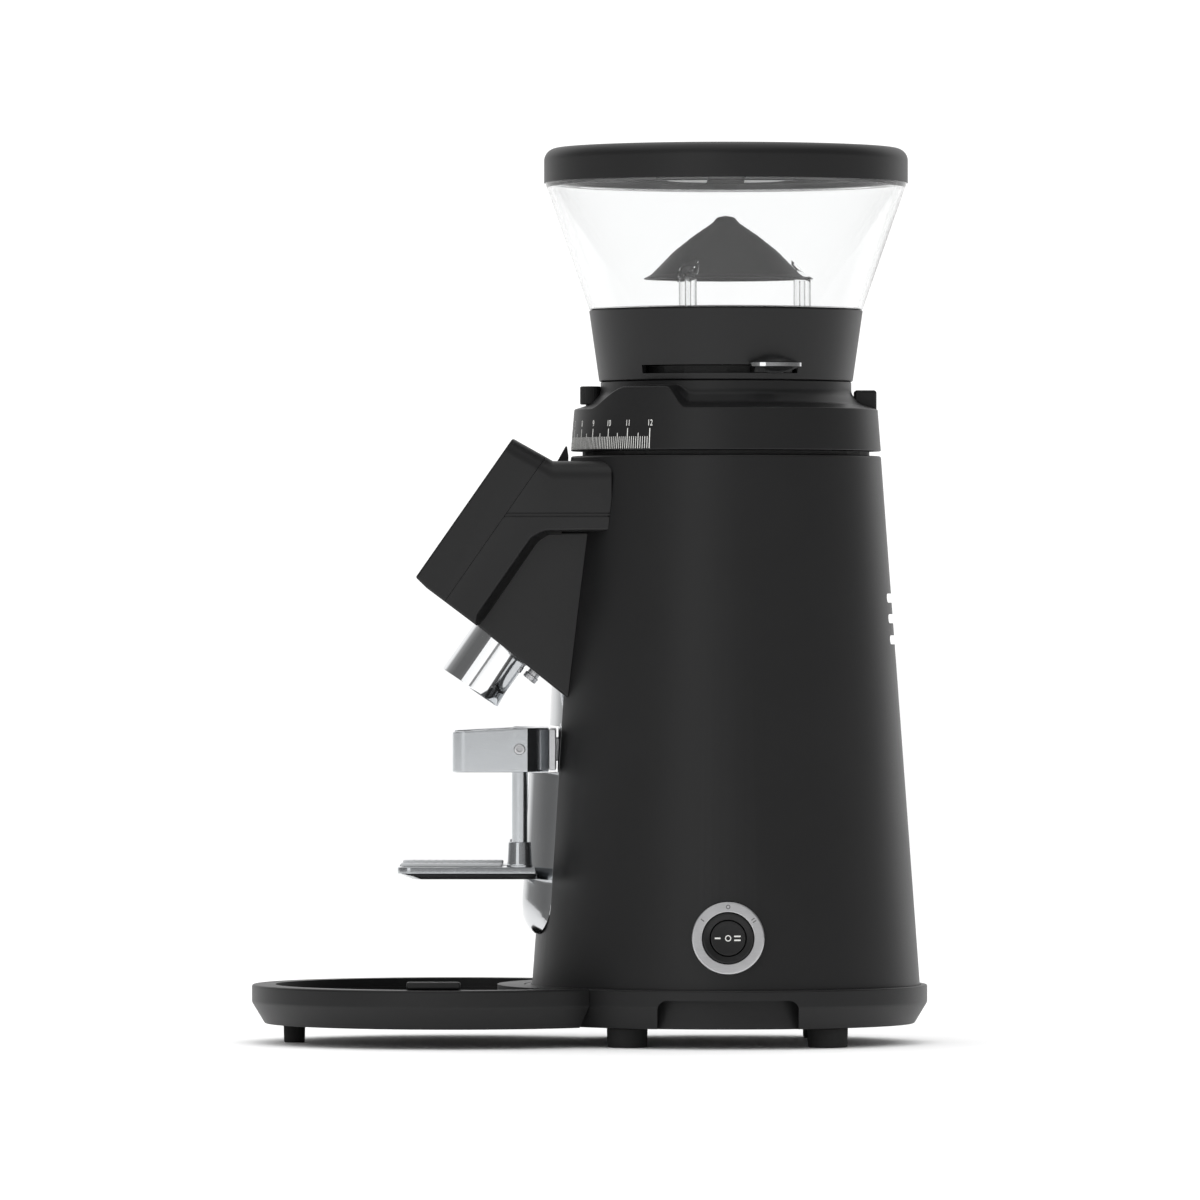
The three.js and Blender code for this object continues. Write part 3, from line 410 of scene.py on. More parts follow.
BLACK = (0.0072, 0.0072, 0.0075)
FINISHES = {
    "housing_paint": finish(
        "satin_powder_coat", BLACK, 0.42, grain=0.55, depth=0.01, wear=0.25, blotch=60,
        sockets={"Specular IOR Level": 0.33},
    ),
    "moulded_black": finish(
        "fine_moulded_black", (0.0078, 0.0078, 0.008), 0.44, grain=0.32, depth=0.01, wear=0.2,
        blotch=40, sockets={"Specular IOR Level": 0.33},
    ),
    "guard_plastic": finish(
        "dark_grey_moulding", (0.012, 0.012, 0.012), 0.5, grain=0.4, depth=0.002, mottle=0.04,
        sockets={"Specular IOR Level": 0.2},
    ),
    "chrome": finish(
        "polished_chrome", (0.83, 0.84, 0.85), 0.06, spread=0.03, grain=1.5, depth=0.002, mottle=0.02,
        sockets={"Metallic": 1},
    ),
    "brushed_steel": finish(
        "brushed_steel", (0.6, 0.6, 0.61), 0.34, spread=0.08, grain=0.22, depth=0.012, mottle=0.1,
        stretch=(1, 0.04, 1), sockets={"Metallic": 1},
    ),
    "burr_steel": finish(
        "ground_hardened_steel", (0.4, 0.41, 0.42), 0.3, spread=0.1, grain=0.3, depth=0.01, mottle=0.15,
        stretch=(0.1, 1, 1), wear=0.5, sockets={"Metallic": 1},
    ),
    "cast_aluminium": finish(
        "cast_aluminium", (0.5, 0.51, 0.52), 0.5, spread=0.1, grain=1.1, depth=0.05, mottle=0.12,
        sockets={"Metallic": 0.9},
    ),
    "motor_iron": finish(
        "coated_iron", (0.09, 0.095, 0.1), 0.62, spread=0.1, grain=0.9, depth=0.05, mottle=0.2,
        sockets={"Metallic": 0.5},
    ),
    "black_rubber": finish(
        "matt_black_rubber", (0.014, 0.014, 0.014), 0.82, grain=0.35, depth=0.03, mottle=0.2,
        sockets={"Specular IOR Level": 0.3},
    ),
    "pad_rubber": finish(
        "smooth_grey_rubber", (0.44, 0.45, 0.46), 0.55, grain=0.4, depth=0.02, mottle=0.05,
    ),
    "clear_plastic": finish(
        "clear_plastic", (0.985, 0.99, 0.99), 0.03, spread=0.015, grain=4, depth=0.002, mottle=0.004,
        sockets={"Transmission Weight": 1, "IOR": 1.45},
    ),
    "display_glass": finish(
        "black_display_glass", (0.006, 0.0065, 0.008), 0.06, spread=0.03, grain=2, depth=0.001,
        sockets={"Coat Weight": 0.6, "Coat Roughness": 0.02},
    ),
    "circuit_board": finish(
        "solder_mask", (0.02, 0.11, 0.045), 0.4, spread=0.1, grain=1.6, depth=0.05, mottle=0.5,
        stretch=(1, 0.2, 1),
    ),
    "capacitor_case": finish(
        "grey_capacitor_case", (0.27, 0.28, 0.29), 0.42, grain=0.5, depth=0.01, mottle=0.06,
    ),
}
# Chrome with its colour darkened as painted shade: the shield is the same polished chrome as the spout,
# drawn greyer to paint in its darker reflections.
PAINTED_SHADE_CHROME = finish(
    "painted_shade_chrome", (0.56, 0.57, 0.58), 0.08, spread=0.03, grain=0.8, depth=0.002, mottle=0.03,
    sockets={"Metallic": 1},
)
SATIN_CHROME = finish(
    "satin_chrome", (0.61, 0.63, 0.65), 0.15, spread=0.04, grain=0.25, depth=0.004, mottle=0.04,
    stretch=(1, 0.05, 1), sockets={"Metallic": 1},
)
LIGHT_PRINT = finish(
    "light_print", (0.62, 0.62, 0.6), 0.5, grain=0.12, depth=0.004, mottle=0.12,
)
DARK_CASTING = finish(
    "dark_casting", (0.012, 0.012, 0.012), 0.6, grain=1.1, depth=0.05, mottle=0.15,
)
# Lighter grey moulding as painted light: the lid is all one black moulding, and its grip bowls are drawn
# grey to paint in the light they catch from the bright surroundings.
PAINTED_LIGHT_MOULDING = finish(
    "grey_moulding", (0.3, 0.3, 0.3), 0.42, grain=0.3, depth=0.004, mottle=0.05,
)
DARK_PRINT = finish(
    "dark_print", (0.1, 0.1, 0.1), 0.5, grain=0.12, depth=0.004, mottle=0.15,
)


# ---- Pieces ----
def piece(name, shape, slot, body, nodes=(), material=None, crease=32):
    """A finished piece: in metres, smooth between creases, on its body and standing for CAD nodes."""
    clean(shape)
    shape.transform(Matrix.Translation((0, AXIS_Y, 0)) @ Matrix.Scale(MM, 4))
    mesh = as_mesh(name, shape)
    mesh.polygons.foreach_set("use_smooth", [True] * len(mesh.polygons))
    mesh.set_sharp_from_angle(angle=math.radians(crease))
    mesh.materials.append(material or FINISHES[slot])
    made = place_in_scene(name, mesh)
    weighted = made.modifiers.new("weighted_normals", "WEIGHTED_NORMAL")
    weighted.keep_sharp = True
    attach(made, body)
    if nodes:
        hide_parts(*nodes)
    return made


def body_block(clearance):
    """The tapered housing, grown by a clearance, as a tool to cut what hugs it."""
    low, high = BODY_BOTTOM - 10, BODY_TOP + 20
    return lathe([
        (0, low), (body_radius(low) + clearance, low), (body_radius(high) + clearance, high), (0, high)
    ])


# ---- Base, feet and tray ----
def build_base():
    """The housing's foot, with a shallow pocket at either side and a hole for the cable."""
    ring = lathe([
        (88, BASE_BOTTOM),
        (BASE_SOLE_RADIUS, BASE_BOTTOM, 1.2),
        (BASE_RADIUS, BASE_WAIST, 3),
        (BASE_RADIUS, BASE_TOP, 1),
        (101.3, BASE_TOP, 0.4),
        (101.3, 29.3),
        (92, 29.3),
        (92, 14.2),
        (88, 14.2),
    ])
    pocket_back = 95
    layer = lathe(rectangle(pocket_back, 120, 0, 27))
    pocket_side = [(-36.2, -5), (36.2, -5), (36.2, 25.1, 5), (-36.2, 25.1, 5)]
    pockets = overlap(layer, slab(pocket_side, [(-130, 0), (130, 0)], sideways))
    ring = cut(ring, pockets, rod(6.4, 80, 120, toward((0, 0, GLAND_Z), (0, 1, 0))))
    piece("base_ring_shell", ring, "housing_paint", "housing", ["base_ring"])


def build_feet():
    places = [(f"foot_{end}_{side}", 10.5) for end in ("front", "rear") for side in ("left", "right")]
    for cad_node, radius in [*places, ("tray_foot", 5.7)]:
        low, high = span(cad_node)
        foot = lathe([
            (0, 0),
            (radius * 0.45, 0, 0.3),
            (radius * 0.5, 0.7, 0.3),
            (radius * 0.56, 0.7, 0.3),
            (radius * 0.61, 0, 0.3),
            (radius - 0.3, 0, 0.9),
            (radius, high.z, 0.3),
            (0, high.z),
        ], Matrix.Translation(((low.x + high.x) / 2, (low.y + high.y) / 2, 0)), SMALL_ROUND)
        body = "tray" if cad_node == "tray_foot" else "housing"
        piece(cad_node + "_rubber", foot, "black_rubber", body, [cad_node])


def build_tray():
    middle = Matrix.Translation((0, TRAY_Y, 0))
    dish = lathe([
        (0, BASE_BOTTOM),
        (BASE_SOLE_RADIUS, BASE_BOTTOM, 1.2),
        (BASE_RADIUS, BASE_WAIST, 3),
        (BASE_RADIUS, BASE_TOP, 1.2),
        (0, BASE_TOP),
    ], middle)
    well = lathe([(0, 13.5), (92.4, 13.5, 2), (92.4, 40), (0, 40)], middle)
    land = rod(TRAY_LAND_RADIUS, 0, 50, segments=ROUND)
    dish = cut(dish, cut(well, land), rod(BASE_RADIUS + GAP, 0, 50, segments=ROUND))
    piece("drip_tray_dish", dish, "moulded_black", "tray", ["drip_tray"])


def build_liner():
    middle = Matrix.Translation((0, TRAY_Y, 0))
    rim = 92.1
    sheet = 1.8
    outer = lathe([(0, 13.8), (rim, 13.8, 1.8), (rim, 26, 0.5), (0, 26)], middle)
    inner = lathe([(0, 15.6), (rim - sheet, 15.6, 2), (rim - sheet, 40), (0, 40)], middle)
    outer = cut(outer, rod(TRAY_LAND_RADIUS + GAP, 0, 50, segments=ROUND))
    inner = cut(inner, rod(TRAY_LAND_RADIUS + GAP + sheet, 0, 50, segments=ROUND))
    tab_front, tab_rear = TRAY_Y - 22.8, TRAY_Y + 4.8
    tab = block(rim - 3.5, 97, tab_front, tab_rear, 30.7, span("tray_liner")[1].z, 1.2)
    riser = overlap(
        block(rim - 3.5, rim - 1.2, tab_front, tab_rear, 20, 33),
        rod(rim, 10, 40, middle, segments=ROUND),
    )
    liner = join(cut(outer, inner), tab, riser)
    piece("tray_liner_dish", liner, "moulded_black", "liner", ["tray_liner"])


# ---- Housing shell and shield ----
def shield_half_width(z):
    return 35.4 - (z - 77.7) * 0.0467


SHIELD_CORNER = 14.5
SHIELD_TOP = SHIELD_HIGH.z + 7  # hidden behind the throat


def build_body():
    def inner(z):
        return body_radius(z) - WALL

    shell = lathe([
        (inner(BODY_BOTTOM), BODY_BOTTOM),
        (BODY_BOTTOM_RADIUS, BODY_BOTTOM, 0.5),
        (BODY_TOP_RADIUS, BODY_TOP, 1.2),
        (62, BODY_TOP, 0.8),
        (62, BODY_TOP - WALL),
        (inner(BODY_TOP - WALL), BODY_TOP - WALL),
    ])
    low, high = SHIELD_LOW.z - GAP, SHIELD_TOP + GAP
    bottom, top = shield_half_width(low) + GAP, shield_half_width(high) + GAP
    window = slab(
        [(-bottom, low, SHIELD_CORNER), (bottom, low, SHIELD_CORNER), (top, high), (-top, high)],
        [(-130, 0), (-60, 0)],
        frontways,
    )
    slots = []
    for height in (231, 220.3, 209.3):
        corners = rectangle(-22, 22, height - 2.35, height + 2.35, 2.3)
        slots.append(slab(corners, [(60, 0), (110, 0)], frontways))
    switch_hole = rod(14, -20, 20, SWITCH)
    chute_low, chute_high = Vector((0, -110, 227.8)), Vector((0, -70, 260.6))
    chute = chute_high - chute_low
    chute_hole = rod(11.6, 0, chute.length, toward(chute_low, chute))
    shell = cut(shell, window, switch_hole, chute_hole, *slots)
    piece("housing_shell", shell, "housing_paint", "housing", ["body_shell"])


def smooth(share):
    share = min(1, max(0, share))
    return share * share * (3 - 2 * share)


SHIELD_PROFILE = [  # height, and how far forward the middle line stands
    (57.2, -100.4), (58.6, -102.2), (60.8, -103.6), (63.2, -104.8), (66, -105.6), (70, -105.9),
    (75, -105.9), (85, -105.2), (98, -104.5), (112, -103.7), (126, -102.9), (140.4, -102.1),
    (140.7, -87.2), (164.5, -87.2), (164.9, -91.7), (172, -91.3), (SHIELD_TOP, -90.7),
]


def build_shield():
    """A sheet that follows the housing along its sides and bulges forward along its middle."""
    columns = 28
    plate = 2.2
    fullness = 1.3  # lower is rounder across

    def front(z, middle, share):
        full = shield_half_width(z)
        low = SHIELD_LOW.z
        half = full
        if z < low + SHIELD_CORNER:
            drop = low + SHIELD_CORNER - z
            half = full - SHIELD_CORNER + math.sqrt(max(0, SHIELD_CORNER ** 2 - drop ** 2))
        x = half * share
        side = -math.sqrt(body_radius(z) ** 2 - x ** 2)
        bulge = middle + body_radius(z)
        return Vector((x, side + bulge * (1 - (x / full) ** 2) ** fullness, z))

    heights = []
    for (z0, y0), (z1, y1) in zip(SHIELD_PROFILE, SHIELD_PROFILE[1:]):
        steps = max(1, round((z1 - z0) / 3))
        heights += list(zip(evenly(z0, z1, steps), evenly(y0, y1, steps)))[:-1]
    heights.append(SHIELD_PROFILE[-1])
    loops = []
    for z, middle in heights:
        row = [front(z, middle, share) for share in evenly(-1, 1, columns)]
        loops.append(row + [point + Vector((0, plate, 0)) for point in reversed(row)])
    bracket_hole = block(-15.4, 15.4, -110, -60, 146.3, 158.9)
    shield = cut(loft(loops), bracket_hole)
    # The shield's chrome carries painted shade, darker than the spout's.
    piece("front_shield_plate", shield, "chrome", "housing", ["front_shield"],
          material=PAINTED_SHADE_CHROME, crease=40)


# ---- Switch ----
def build_switch():
    bezel = lathe([(13.4, -2.4), (18.6, -2.4), (18.6, 2, 0.7), (13.4, 2, 0.4)], SWITCH)
    bezel = cut(bezel, body_block(0.1))
    piece("switch_bezel_ring", bezel, "brushed_steel", "housing", ["switch_bezel"])
    housing = lathe([
        (9.5, -9), (13.1, -9), (13.1, 1.9, 0.5), (12, 1.9, 0.4), (10.4, 1.3, 0.5), (9.5, 1, 0.2),
    ], SWITCH)
    piece("switch_housing_ring", housing, "moulded_black", "housing", ["switch_housing"])
    sphere, pivot = 9.3, -1.8
    angles = evenly(-math.asin(6 / sphere), math.asin(3 / sphere), 16)
    side = [(sphere * math.cos(a), pivot + sphere * math.sin(a)) for a in angles]
    face = pivot + 3
    dished = [(8.1, face + 0.05), (7.2, face - 0.1), (4, face - 0.28)]
    rocker = lathe([(0, side[0][1]), *side, *dished, (0, face - 0.34)], SWITCH, SMALL_ROUND)
    piece("rocker_cap", rocker, "moulded_black", "rocker", ["rocker"])
    top = face - 0.12
    print_levels = [(top - 0.4, 0), (top, 0)]
    marks = [
        slab(rectangle(-0.4, 0.4, -7.7, -3.9, 0.3), print_levels),
        lathe(rectangle(1.1, 1.6, top - 0.4, top), None, 40),
    ]
    for x in (-1, 1):
        marks.append(slab(rectangle(x - 0.38, x + 0.38, 3, 6.4, 0.3), print_levels))
    print_shape = gather(marks)
    print_shape.transform(SWITCH)
    piece("rocker_marks", print_shape, "moulded_black", "rocker", material=LIGHT_PRINT)
    ticks = [lathe(rectangle(0.7, 1.15, 1.8, 2.03), Matrix.Translation((-16, 0, 0)), 32)]
    for azimuth in (235, 122.42, 127.58):
        tick = block(15, 17, -0.25, 0.25, 1.8, 2.03)
        tick.transform(Matrix.Rotation(math.radians(azimuth), 4, "Z"))
        ticks.append(tick)
    tick_shape = gather(ticks)
    tick_shape.transform(SWITCH)
    piece("bezel_marks", tick_shape, "brushed_steel", "housing", material=DARK_PRINT)


# ---- Head ----
# Outlines in (y, z, corner radius): the head's flanks, and how far it reaches beside the throat.
HEAD_FRONT = [(-110.5, 313.4, 1.2), (-160.6, 241.7, 1.2), (-155, 236.2, 2), (-129.2, 216.8)]
HEAD_REAR = [(-52, 301.7, 6), (-89.7, 301.7, 6)]
HEAD_SIDE = [
    *HEAD_FRONT, (-128.6, 222.4, 0.8), (-100.5, 262.5, 9), (-94, 265.6, 4), (-52, 265.9, 3), *HEAD_REAR,
]
HEAD_THROAT = [
    *HEAD_FRONT, (-125.3, 220.1, 0.8), (-97.6, 260.2, 9), (-92, 263.7, 4), (-52, 263.9, 3), *HEAD_REAR,
]
HEAD_END = -59.6
HEAD_EDGE = 1.3  # rounding of the flanks' outlines
HEAD_SHOULDER = 10  # rounding of the head's long top edges
THROAT_HALF_WIDTH = 43


def head_half_width(y):
    return 57 + (y + 60) * 0.05


def head_block():
    """The head's outline across, rounded at both sides, with a lip that slopes down to the throat."""
    def loop(corners, width_at, inset=0.0):
        return [Vector((width_at(p.x), p.x, p.y)) for p in outline(corners, inset, steps=6)]

    def half(side):
        loops = []
        for drop, inset in rounded_edge(HEAD_EDGE, 5):
            loops.append(loop(HEAD_SIDE, lambda y: side * (head_half_width(y) - drop), inset))
        loops.append(loop(HEAD_THROAT, lambda y: side * THROAT_HALF_WIDTH))
        return loops

    across = loft(half(-1) + half(1)[::-1])
    sections = []
    for y, top in ((-170, 346.7), (-110.5, 313.4), (-89.7, 301.7), (-40, 301.7)):
        half_width = head_half_width(y)
        corners = [(-half_width, 150), (half_width, 150), (half_width, top, HEAD_SHOULDER),
                   (-half_width, top, HEAD_SHOULDER)]
        sections.append([Vector((p.x, y, p.y)) for p in outline(corners)])
    side_limit = [(-200, 150), (-85, 150), (-85, 265.3), (HEAD_END, 265.3, 3), (HEAD_END, 302.3, 6),
                  (-86, 302.3), (-86, 400), (-200, 400)]
    rounded = overlap(across, loft(sections))
    return overlap(rounded, slab(side_limit, [(-70, 0), (70, 0)], sideways))


def build_head():
    head = head_block()
    beyond = centred(90, 90)
    cover = overlap(head.copy(), slab(beyond, [(-COVER_DEPTH, 0), (30, 0)], on_face))
    hollow = slab(rectangle(-48.5, 48.5, -39.5, 40), [(-COVER_DEPTH - 5, 0), (-WALL, 0)], on_face)
    seat = slab(centred(38.3, 30.3, 3), [(-1.8, 0), (-0.3, 0), (0.3, -0.6), (5, -0.6)], on_face)
    window = slab(centred(34, 26), [(-10, 0), (5, 0)], on_face)
    cover = cut(cover, hollow, seat, window)
    piece("head_cover", cover, "moulded_black", "housing", ["head_front_cover"])
    seam = 0.2
    shell = cut(head, slab(beyond, [(-COVER_DEPTH - seam, 0), (60, 0)], on_face))
    inside = [
        (-104, 298), (-152, 240.5), (-127.5, 227.5), (-101.5, 266.5), (-95, 269.2), (-70, 269.2), (-70, 298),
    ]
    pocket = slab(inside, [(-48, 0), (48, 0)], sideways)
    grooves = []
    for side in (-1, 1):
        for height in (274.7, 273.1):
            line = rectangle(-115.6, -58, height - 0.4, height + 0.4)
            grooves.append(slab(line, [(-0.8, 0), (3, 0)],
                                lambda u, v, w: Vector((side * (head_half_width(u) + w), u, v))))
    throat = rod(SPOUT_HOLE, -10, 80, SPOUT_AXIS)
    shell = cut(shell, pocket, body_block(SEATED), throat, *grooves)
    piece("head_collar", shell, "moulded_black", "housing", ["head_shell"])


def build_display():
    glass = slab(centred(38, 30, 2.8), rounded_ends(-1.5, -0.2, 0.35, 0.1), on_face)
    piece("display_window", glass, "display_glass", "housing", ["display_glass"])
    low, high = -0.25, -0.16
    shapes = []
    for x in (-18, 0, 18):
        ring = rectangle(3.6, 4.1, low, high)
        shapes.append(lathe(ring, Matrix.Translation((x, -19, 0)), 48))
    shapes.append(block(-19.6, -16.4, -19.2, -18.8, low, high))
    shapes.append(block(16.4, 19.6, -19.2, -18.8, low, high))
    shapes.append(block(17.8, 18.2, -20.6, -17.4, low, high))
    screen = rectangle(-30, 30, -10, 23, 2)
    line = slab(screen, [(low, 0), (high, 0)])
    shapes.append(cut(line, slab(screen, [(-0.4, 0.35), (0, 0.35)])))
    marks = gather(shapes)
    marks.transform(FACE)
    piece("display_marks", marks, "display_glass", "housing", material=LIGHT_PRINT)


def build_fairing():
    side = [(-128.8, 216.5, 2), (-82, 179, 0.6), (-60, 179), (-60, 265.5), (-94.2, 265.2, 2),
            (-100.2, 262, 4), (-128.2, 221.9, 2)]

    def loop(sign, drop, inset):
        return [
            Vector((sign * (37 + (p.y - 180) * 0.0714 - drop), p.x, p.y))
            for p in outline(side, inset, steps=4)
        ]

    edge = rounded_edge(1.6)
    loops = [loop(-1, *step) for step in edge] + [loop(1, *step) for step in edge[::-1]]
    inside = [(-131, 222.1), (-70, 173.6), (-50, 173.6), (-50, 275), (-94, 275), (-131, 235)]
    fairing = cut(
        loft(loops),
        slab(inside, [(-34, 0), (34, 0)], sideways),
        body_block(SEATED),
        rod(SPOUT_HOLE, -10, 80, SPOUT_AXIS),
        rod(2.3, -10, 20, BUTTON_AXIS),
        rod(3.5, -2.5, 20, BUTTON_AXIS),
    )
    piece("throat_fairing", fairing, "moulded_black", "housing", ["head_fairing"])


def build_spout():
    spout = lathe([(16, 0, 0.5), (17.5, 0, 0.8), (17.5, 52, 0.5), (16, 52)], SPOUT_AXIS)
    piece("spout_tube", spout, "chrome", "housing", ["spout"])


def build_start_button():
    button = lathe([
        (0, -9), (2, -9, 0.4), (2, -0.1), (3.2, -0.1, 0.2), (3.2, 2.4), (3.9, 2.4, 0.4), (3.9, 5.4, 0.6),
        (2.6, 5.4, 0.5), (0, 5.1),
    ], BUTTON_AXIS, SMALL_ROUND)
    piece("start_button_cap", button, "brushed_steel", "start_button", ["start_button"])


def build_index_pointer():
    pointer = slab([(-87.8, 302), (-81.9, 302), (-81.9, 305, 1), (-82.8, 311, 0.5)],
                   rounded_ends(-1.5, 1.5, 0.4), sideways)
    piece("index_pointer_fin", pointer, "moulded_black", "housing", ["index_pointer"])


# ---- Portafilter holder ----
def prongs(half, front, slot, outer, inner):
    """The front of a forked outline with a round slot, its prongs' corners rounded by outer and inner."""
    slot_end = PORTAFILTER_Y + slot
    return [
        (-half, front, outer), (-slot, front, inner), (-slot, slot_end, slot),
        (slot, slot_end, slot), (slot, front, inner), (half, front, outer),
    ]


def build_yoke():
    half = YOKE_HIGH.x
    bottom, top = YOKE_LOW.z, YOKE_HIGH.z
    corners = [
        *prongs(half, YOKE_LOW.y, 36, 6.7, 1.5),
        (half, -102.9, 0.5), (31.5, -92.1, 0.5), (-31.5, -92.1, 0.5), (-half, -102.9, 0.5),
    ]

    slope = 0.055
    slope_start = -103

    def lowered(u, v, w):
        """The top falls towards the front, the bottom stays level."""
        return Vector((u, v, w + min(0, v - slope_start) * slope * (w - bottom) / (top - bottom)))

    yoke = slab(corners, rounded_ends(bottom, top, 0.7), lowered)
    tools = []
    for x in (-ROD_X, ROD_X):
        tools.append(rod(ROD_RADIUS + GAP, 130, 180, x=x, y=ROD_Y))
        tools.append(rod(2.9, 0, 20, toward((x, ROD_Y, SCREW_Z), (math.copysign(1, x), 0, 0))))
    piece("yoke_fork", cut(yoke, *tools), "chrome", "housing", ["yoke"], material=SATIN_CHROME)
    strip = block(-36, 36, -91.8, -88.3, 142, 163.2, 0.6)
    lug = block(-15, 15, -89, -66, 146.6, 158.6, 0.6)
    piece("yoke_mount", join(strip, lug), "brushed_steel", "housing", ["yoke_bracket"])


def build_screws_and_rods():
    for side, sign in (("left", -1), ("right", 1)):
        low, high = span(f"yoke_screw_{side}")
        inner, outer = sorted((low.x, high.x), key=abs)
        axis = toward((inner, ROD_Y, SCREW_Z), (sign, 0, 0))
        length = abs(outer - inner)
        screw = lathe([(0, 0), (2.8, 0, 0.3), (2.8, length, 0.5), (0, length)], axis, SMALL_ROUND)
        socket = slab(arc(1.5, 0, 300, 5), [(length - 2.2, 0), (length - 0.3, 0), (length + 0.3, -0.35)])
        socket.transform(axis)
        screw = cut(screw, socket)
        piece(f"set_screw_{side}", screw, "brushed_steel", "housing", [f"yoke_screw_{side}"])
        shaft = lathe([
            (0, ROD_LOW.z), (ROD_RADIUS, ROD_LOW.z), (ROD_RADIUS, ROD_HIGH.z, 0.5), (0, ROD_HIGH.z),
        ], Matrix.Translation((sign * ROD_X, ROD_Y, 0)), SMALL_ROUND)
        piece(f"height_rod_{side}", shaft, "chrome", "fork", [f"fork_rod_{side}"], material=SATIN_CHROME)


def build_fork():
    half = 47.5
    edge_bottom = FORK_TOP - 3.2
    underside = 85.8
    corners = [
        *prongs(half, -170, 22, 7, 2),
        (half, -98.4, 1), (35.5, -98.4, 1.5), (0, -117.6, 70), (-35.5, -98.4, 1.5), (-half, -98.4, 1),
    ]

    def tapered(u, v, w):
        """The underside is narrower by 5 at each side and shorter by 8 in front."""
        share = min(1, max(0, (edge_bottom - w) / (edge_bottom - underside)))
        u -= math.copysign(5, u) * share * smooth((abs(u) - 26) / 10)
        v += 8 * share * smooth((-v - 150) / 15)
        return Vector((u, v, w))

    levels = [
        (underside, 0), (edge_bottom, 0), (FORK_TOP - 0.6, 0), (FORK_TOP - 0.2, 0.2), (FORK_TOP, 0.6),
    ]
    plate = slab(corners, levels, tapered)
    for x in (-ROD_X, ROD_X):
        boss = lathe([
            (0, 90), (6.7, 90), (6.7, 93.2, 0.4), (6.35, 93.6, 0.2), (5.8, 105, 0.5), (0, 105),
        ], Matrix.Translation((x, ROD_Y, 0)), SMALL_ROUND)
        plate = join(plate, boss)
        plate = cut(plate, rod(ROD_RADIUS + 0.05, 90, 120, x=x, y=ROD_Y))
    piece("fork_rest", plate, "chrome", "fork", ["fork_plate"], material=SATIN_CHROME)
    for side, sign in (("left", -1), ("right", 1)):
        low, high = span(f"fork_pad_{side}")
        inner, outer = sorted((low.x, high.x), key=abs)
        strip = [(inner, low.y, 3), (outer, low.y, 4), (outer, high.y, 2), (inner, high.y, 2)]
        pad = slab(strip, rounded_ends(low.z, high.z, 0.6, 0.2))
        for i in range(12):
            groove_y = low.y + 5 + i * 3.9
            pad = cut(pad, block(
                low.x + 3, high.x - 3, groove_y, groove_y + 1.2, high.z - 0.5, high.z + 1,
            ))
        piece(f"rest_pad_{side}", pad, "pad_rubber", "fork", [f"fork_pad_{side}"])


# ---- Dial ----
DIAL_BASE = [
    (49, 343.2), (49, 327), (76, 327), (77.8, 307.3), (80.6, 307.3, 0.5), (78.9, 329, 1),
    (70.5, 331.6, 6), (65.2, 337, 5), (65.2, 343.2, 0.4),
]
DIAL_HUMP = [
    (49, 343.2), (49, 327), (76, 327), (77.8, 307.3), (80.6, 307.3, 0.5), (78, 340.2, 1.6),
    (72, 340.5, 1), (65.6, 340.8, 0.4), (65.2, 343.2, 0.4),
]


def dial_radius(z):
    return 80.6 - (z - DIAL_LOW.z) * 1.7 / 21.7


def dial_profile(azimuth):
    """The ring's section, higher over the hump between the index window and the knob."""
    azimuth = (azimuth + 180) % 360 - 180
    rise = smooth((azimuth + 64) / 22)
    fall = 1 - smooth((azimuth + 24) / 8)
    share = rise * fall
    corners = []
    for low, high in zip(DIAL_BASE, DIAL_HUMP):
        corners.append(tuple(a + (b - a) * share for a, b in zip(low, high)))
    return outline(corners, steps=5)


def build_dial():
    ring = lathe(None, segments=360, profile_at=dial_profile)
    lug = block(-7, 7, 66.5, 78.2, 325, 339, 1.5)
    ring = join(ring, lug)
    ring = cut(ring, rod(5.9, 331.3, 350, y=KNOB_Y), rod(2.8, 320, 345, y=KNOB_Y))
    piece("dial_collar", ring, "housing_paint", "dial", ["dial_ring"])
    knob = lathe([
        (0, KNOB_LOW.z), (2.5, KNOB_LOW.z), (2.5, 331.6), (5.5, 331.6, 0.7), (5.5, KNOB_HIGH.z, 0.9),
        (3.6, KNOB_HIGH.z, 0.3), (3.2, KNOB_HIGH.z - 0.4, 0.3), (0, KNOB_HIGH.z - 0.4),
    ], None, 192)
    ridges = 32
    for vertex in knob.verts:
        radius = vertex.co.xy.length
        if radius > 5.3 and 332 < vertex.co.z < 340.5:
            ridge = 0.5 + 0.5 * math.cos(ridges * math.atan2(vertex.co.y, vertex.co.x))
            vertex.co.xy *= 1 - 0.035 * ridge
    knob.transform(Matrix.Translation((0, KNOB_Y, 0)))
    piece("lock_knob_cap", knob, "moulded_black", "lock_knob", ["lock_knob"])


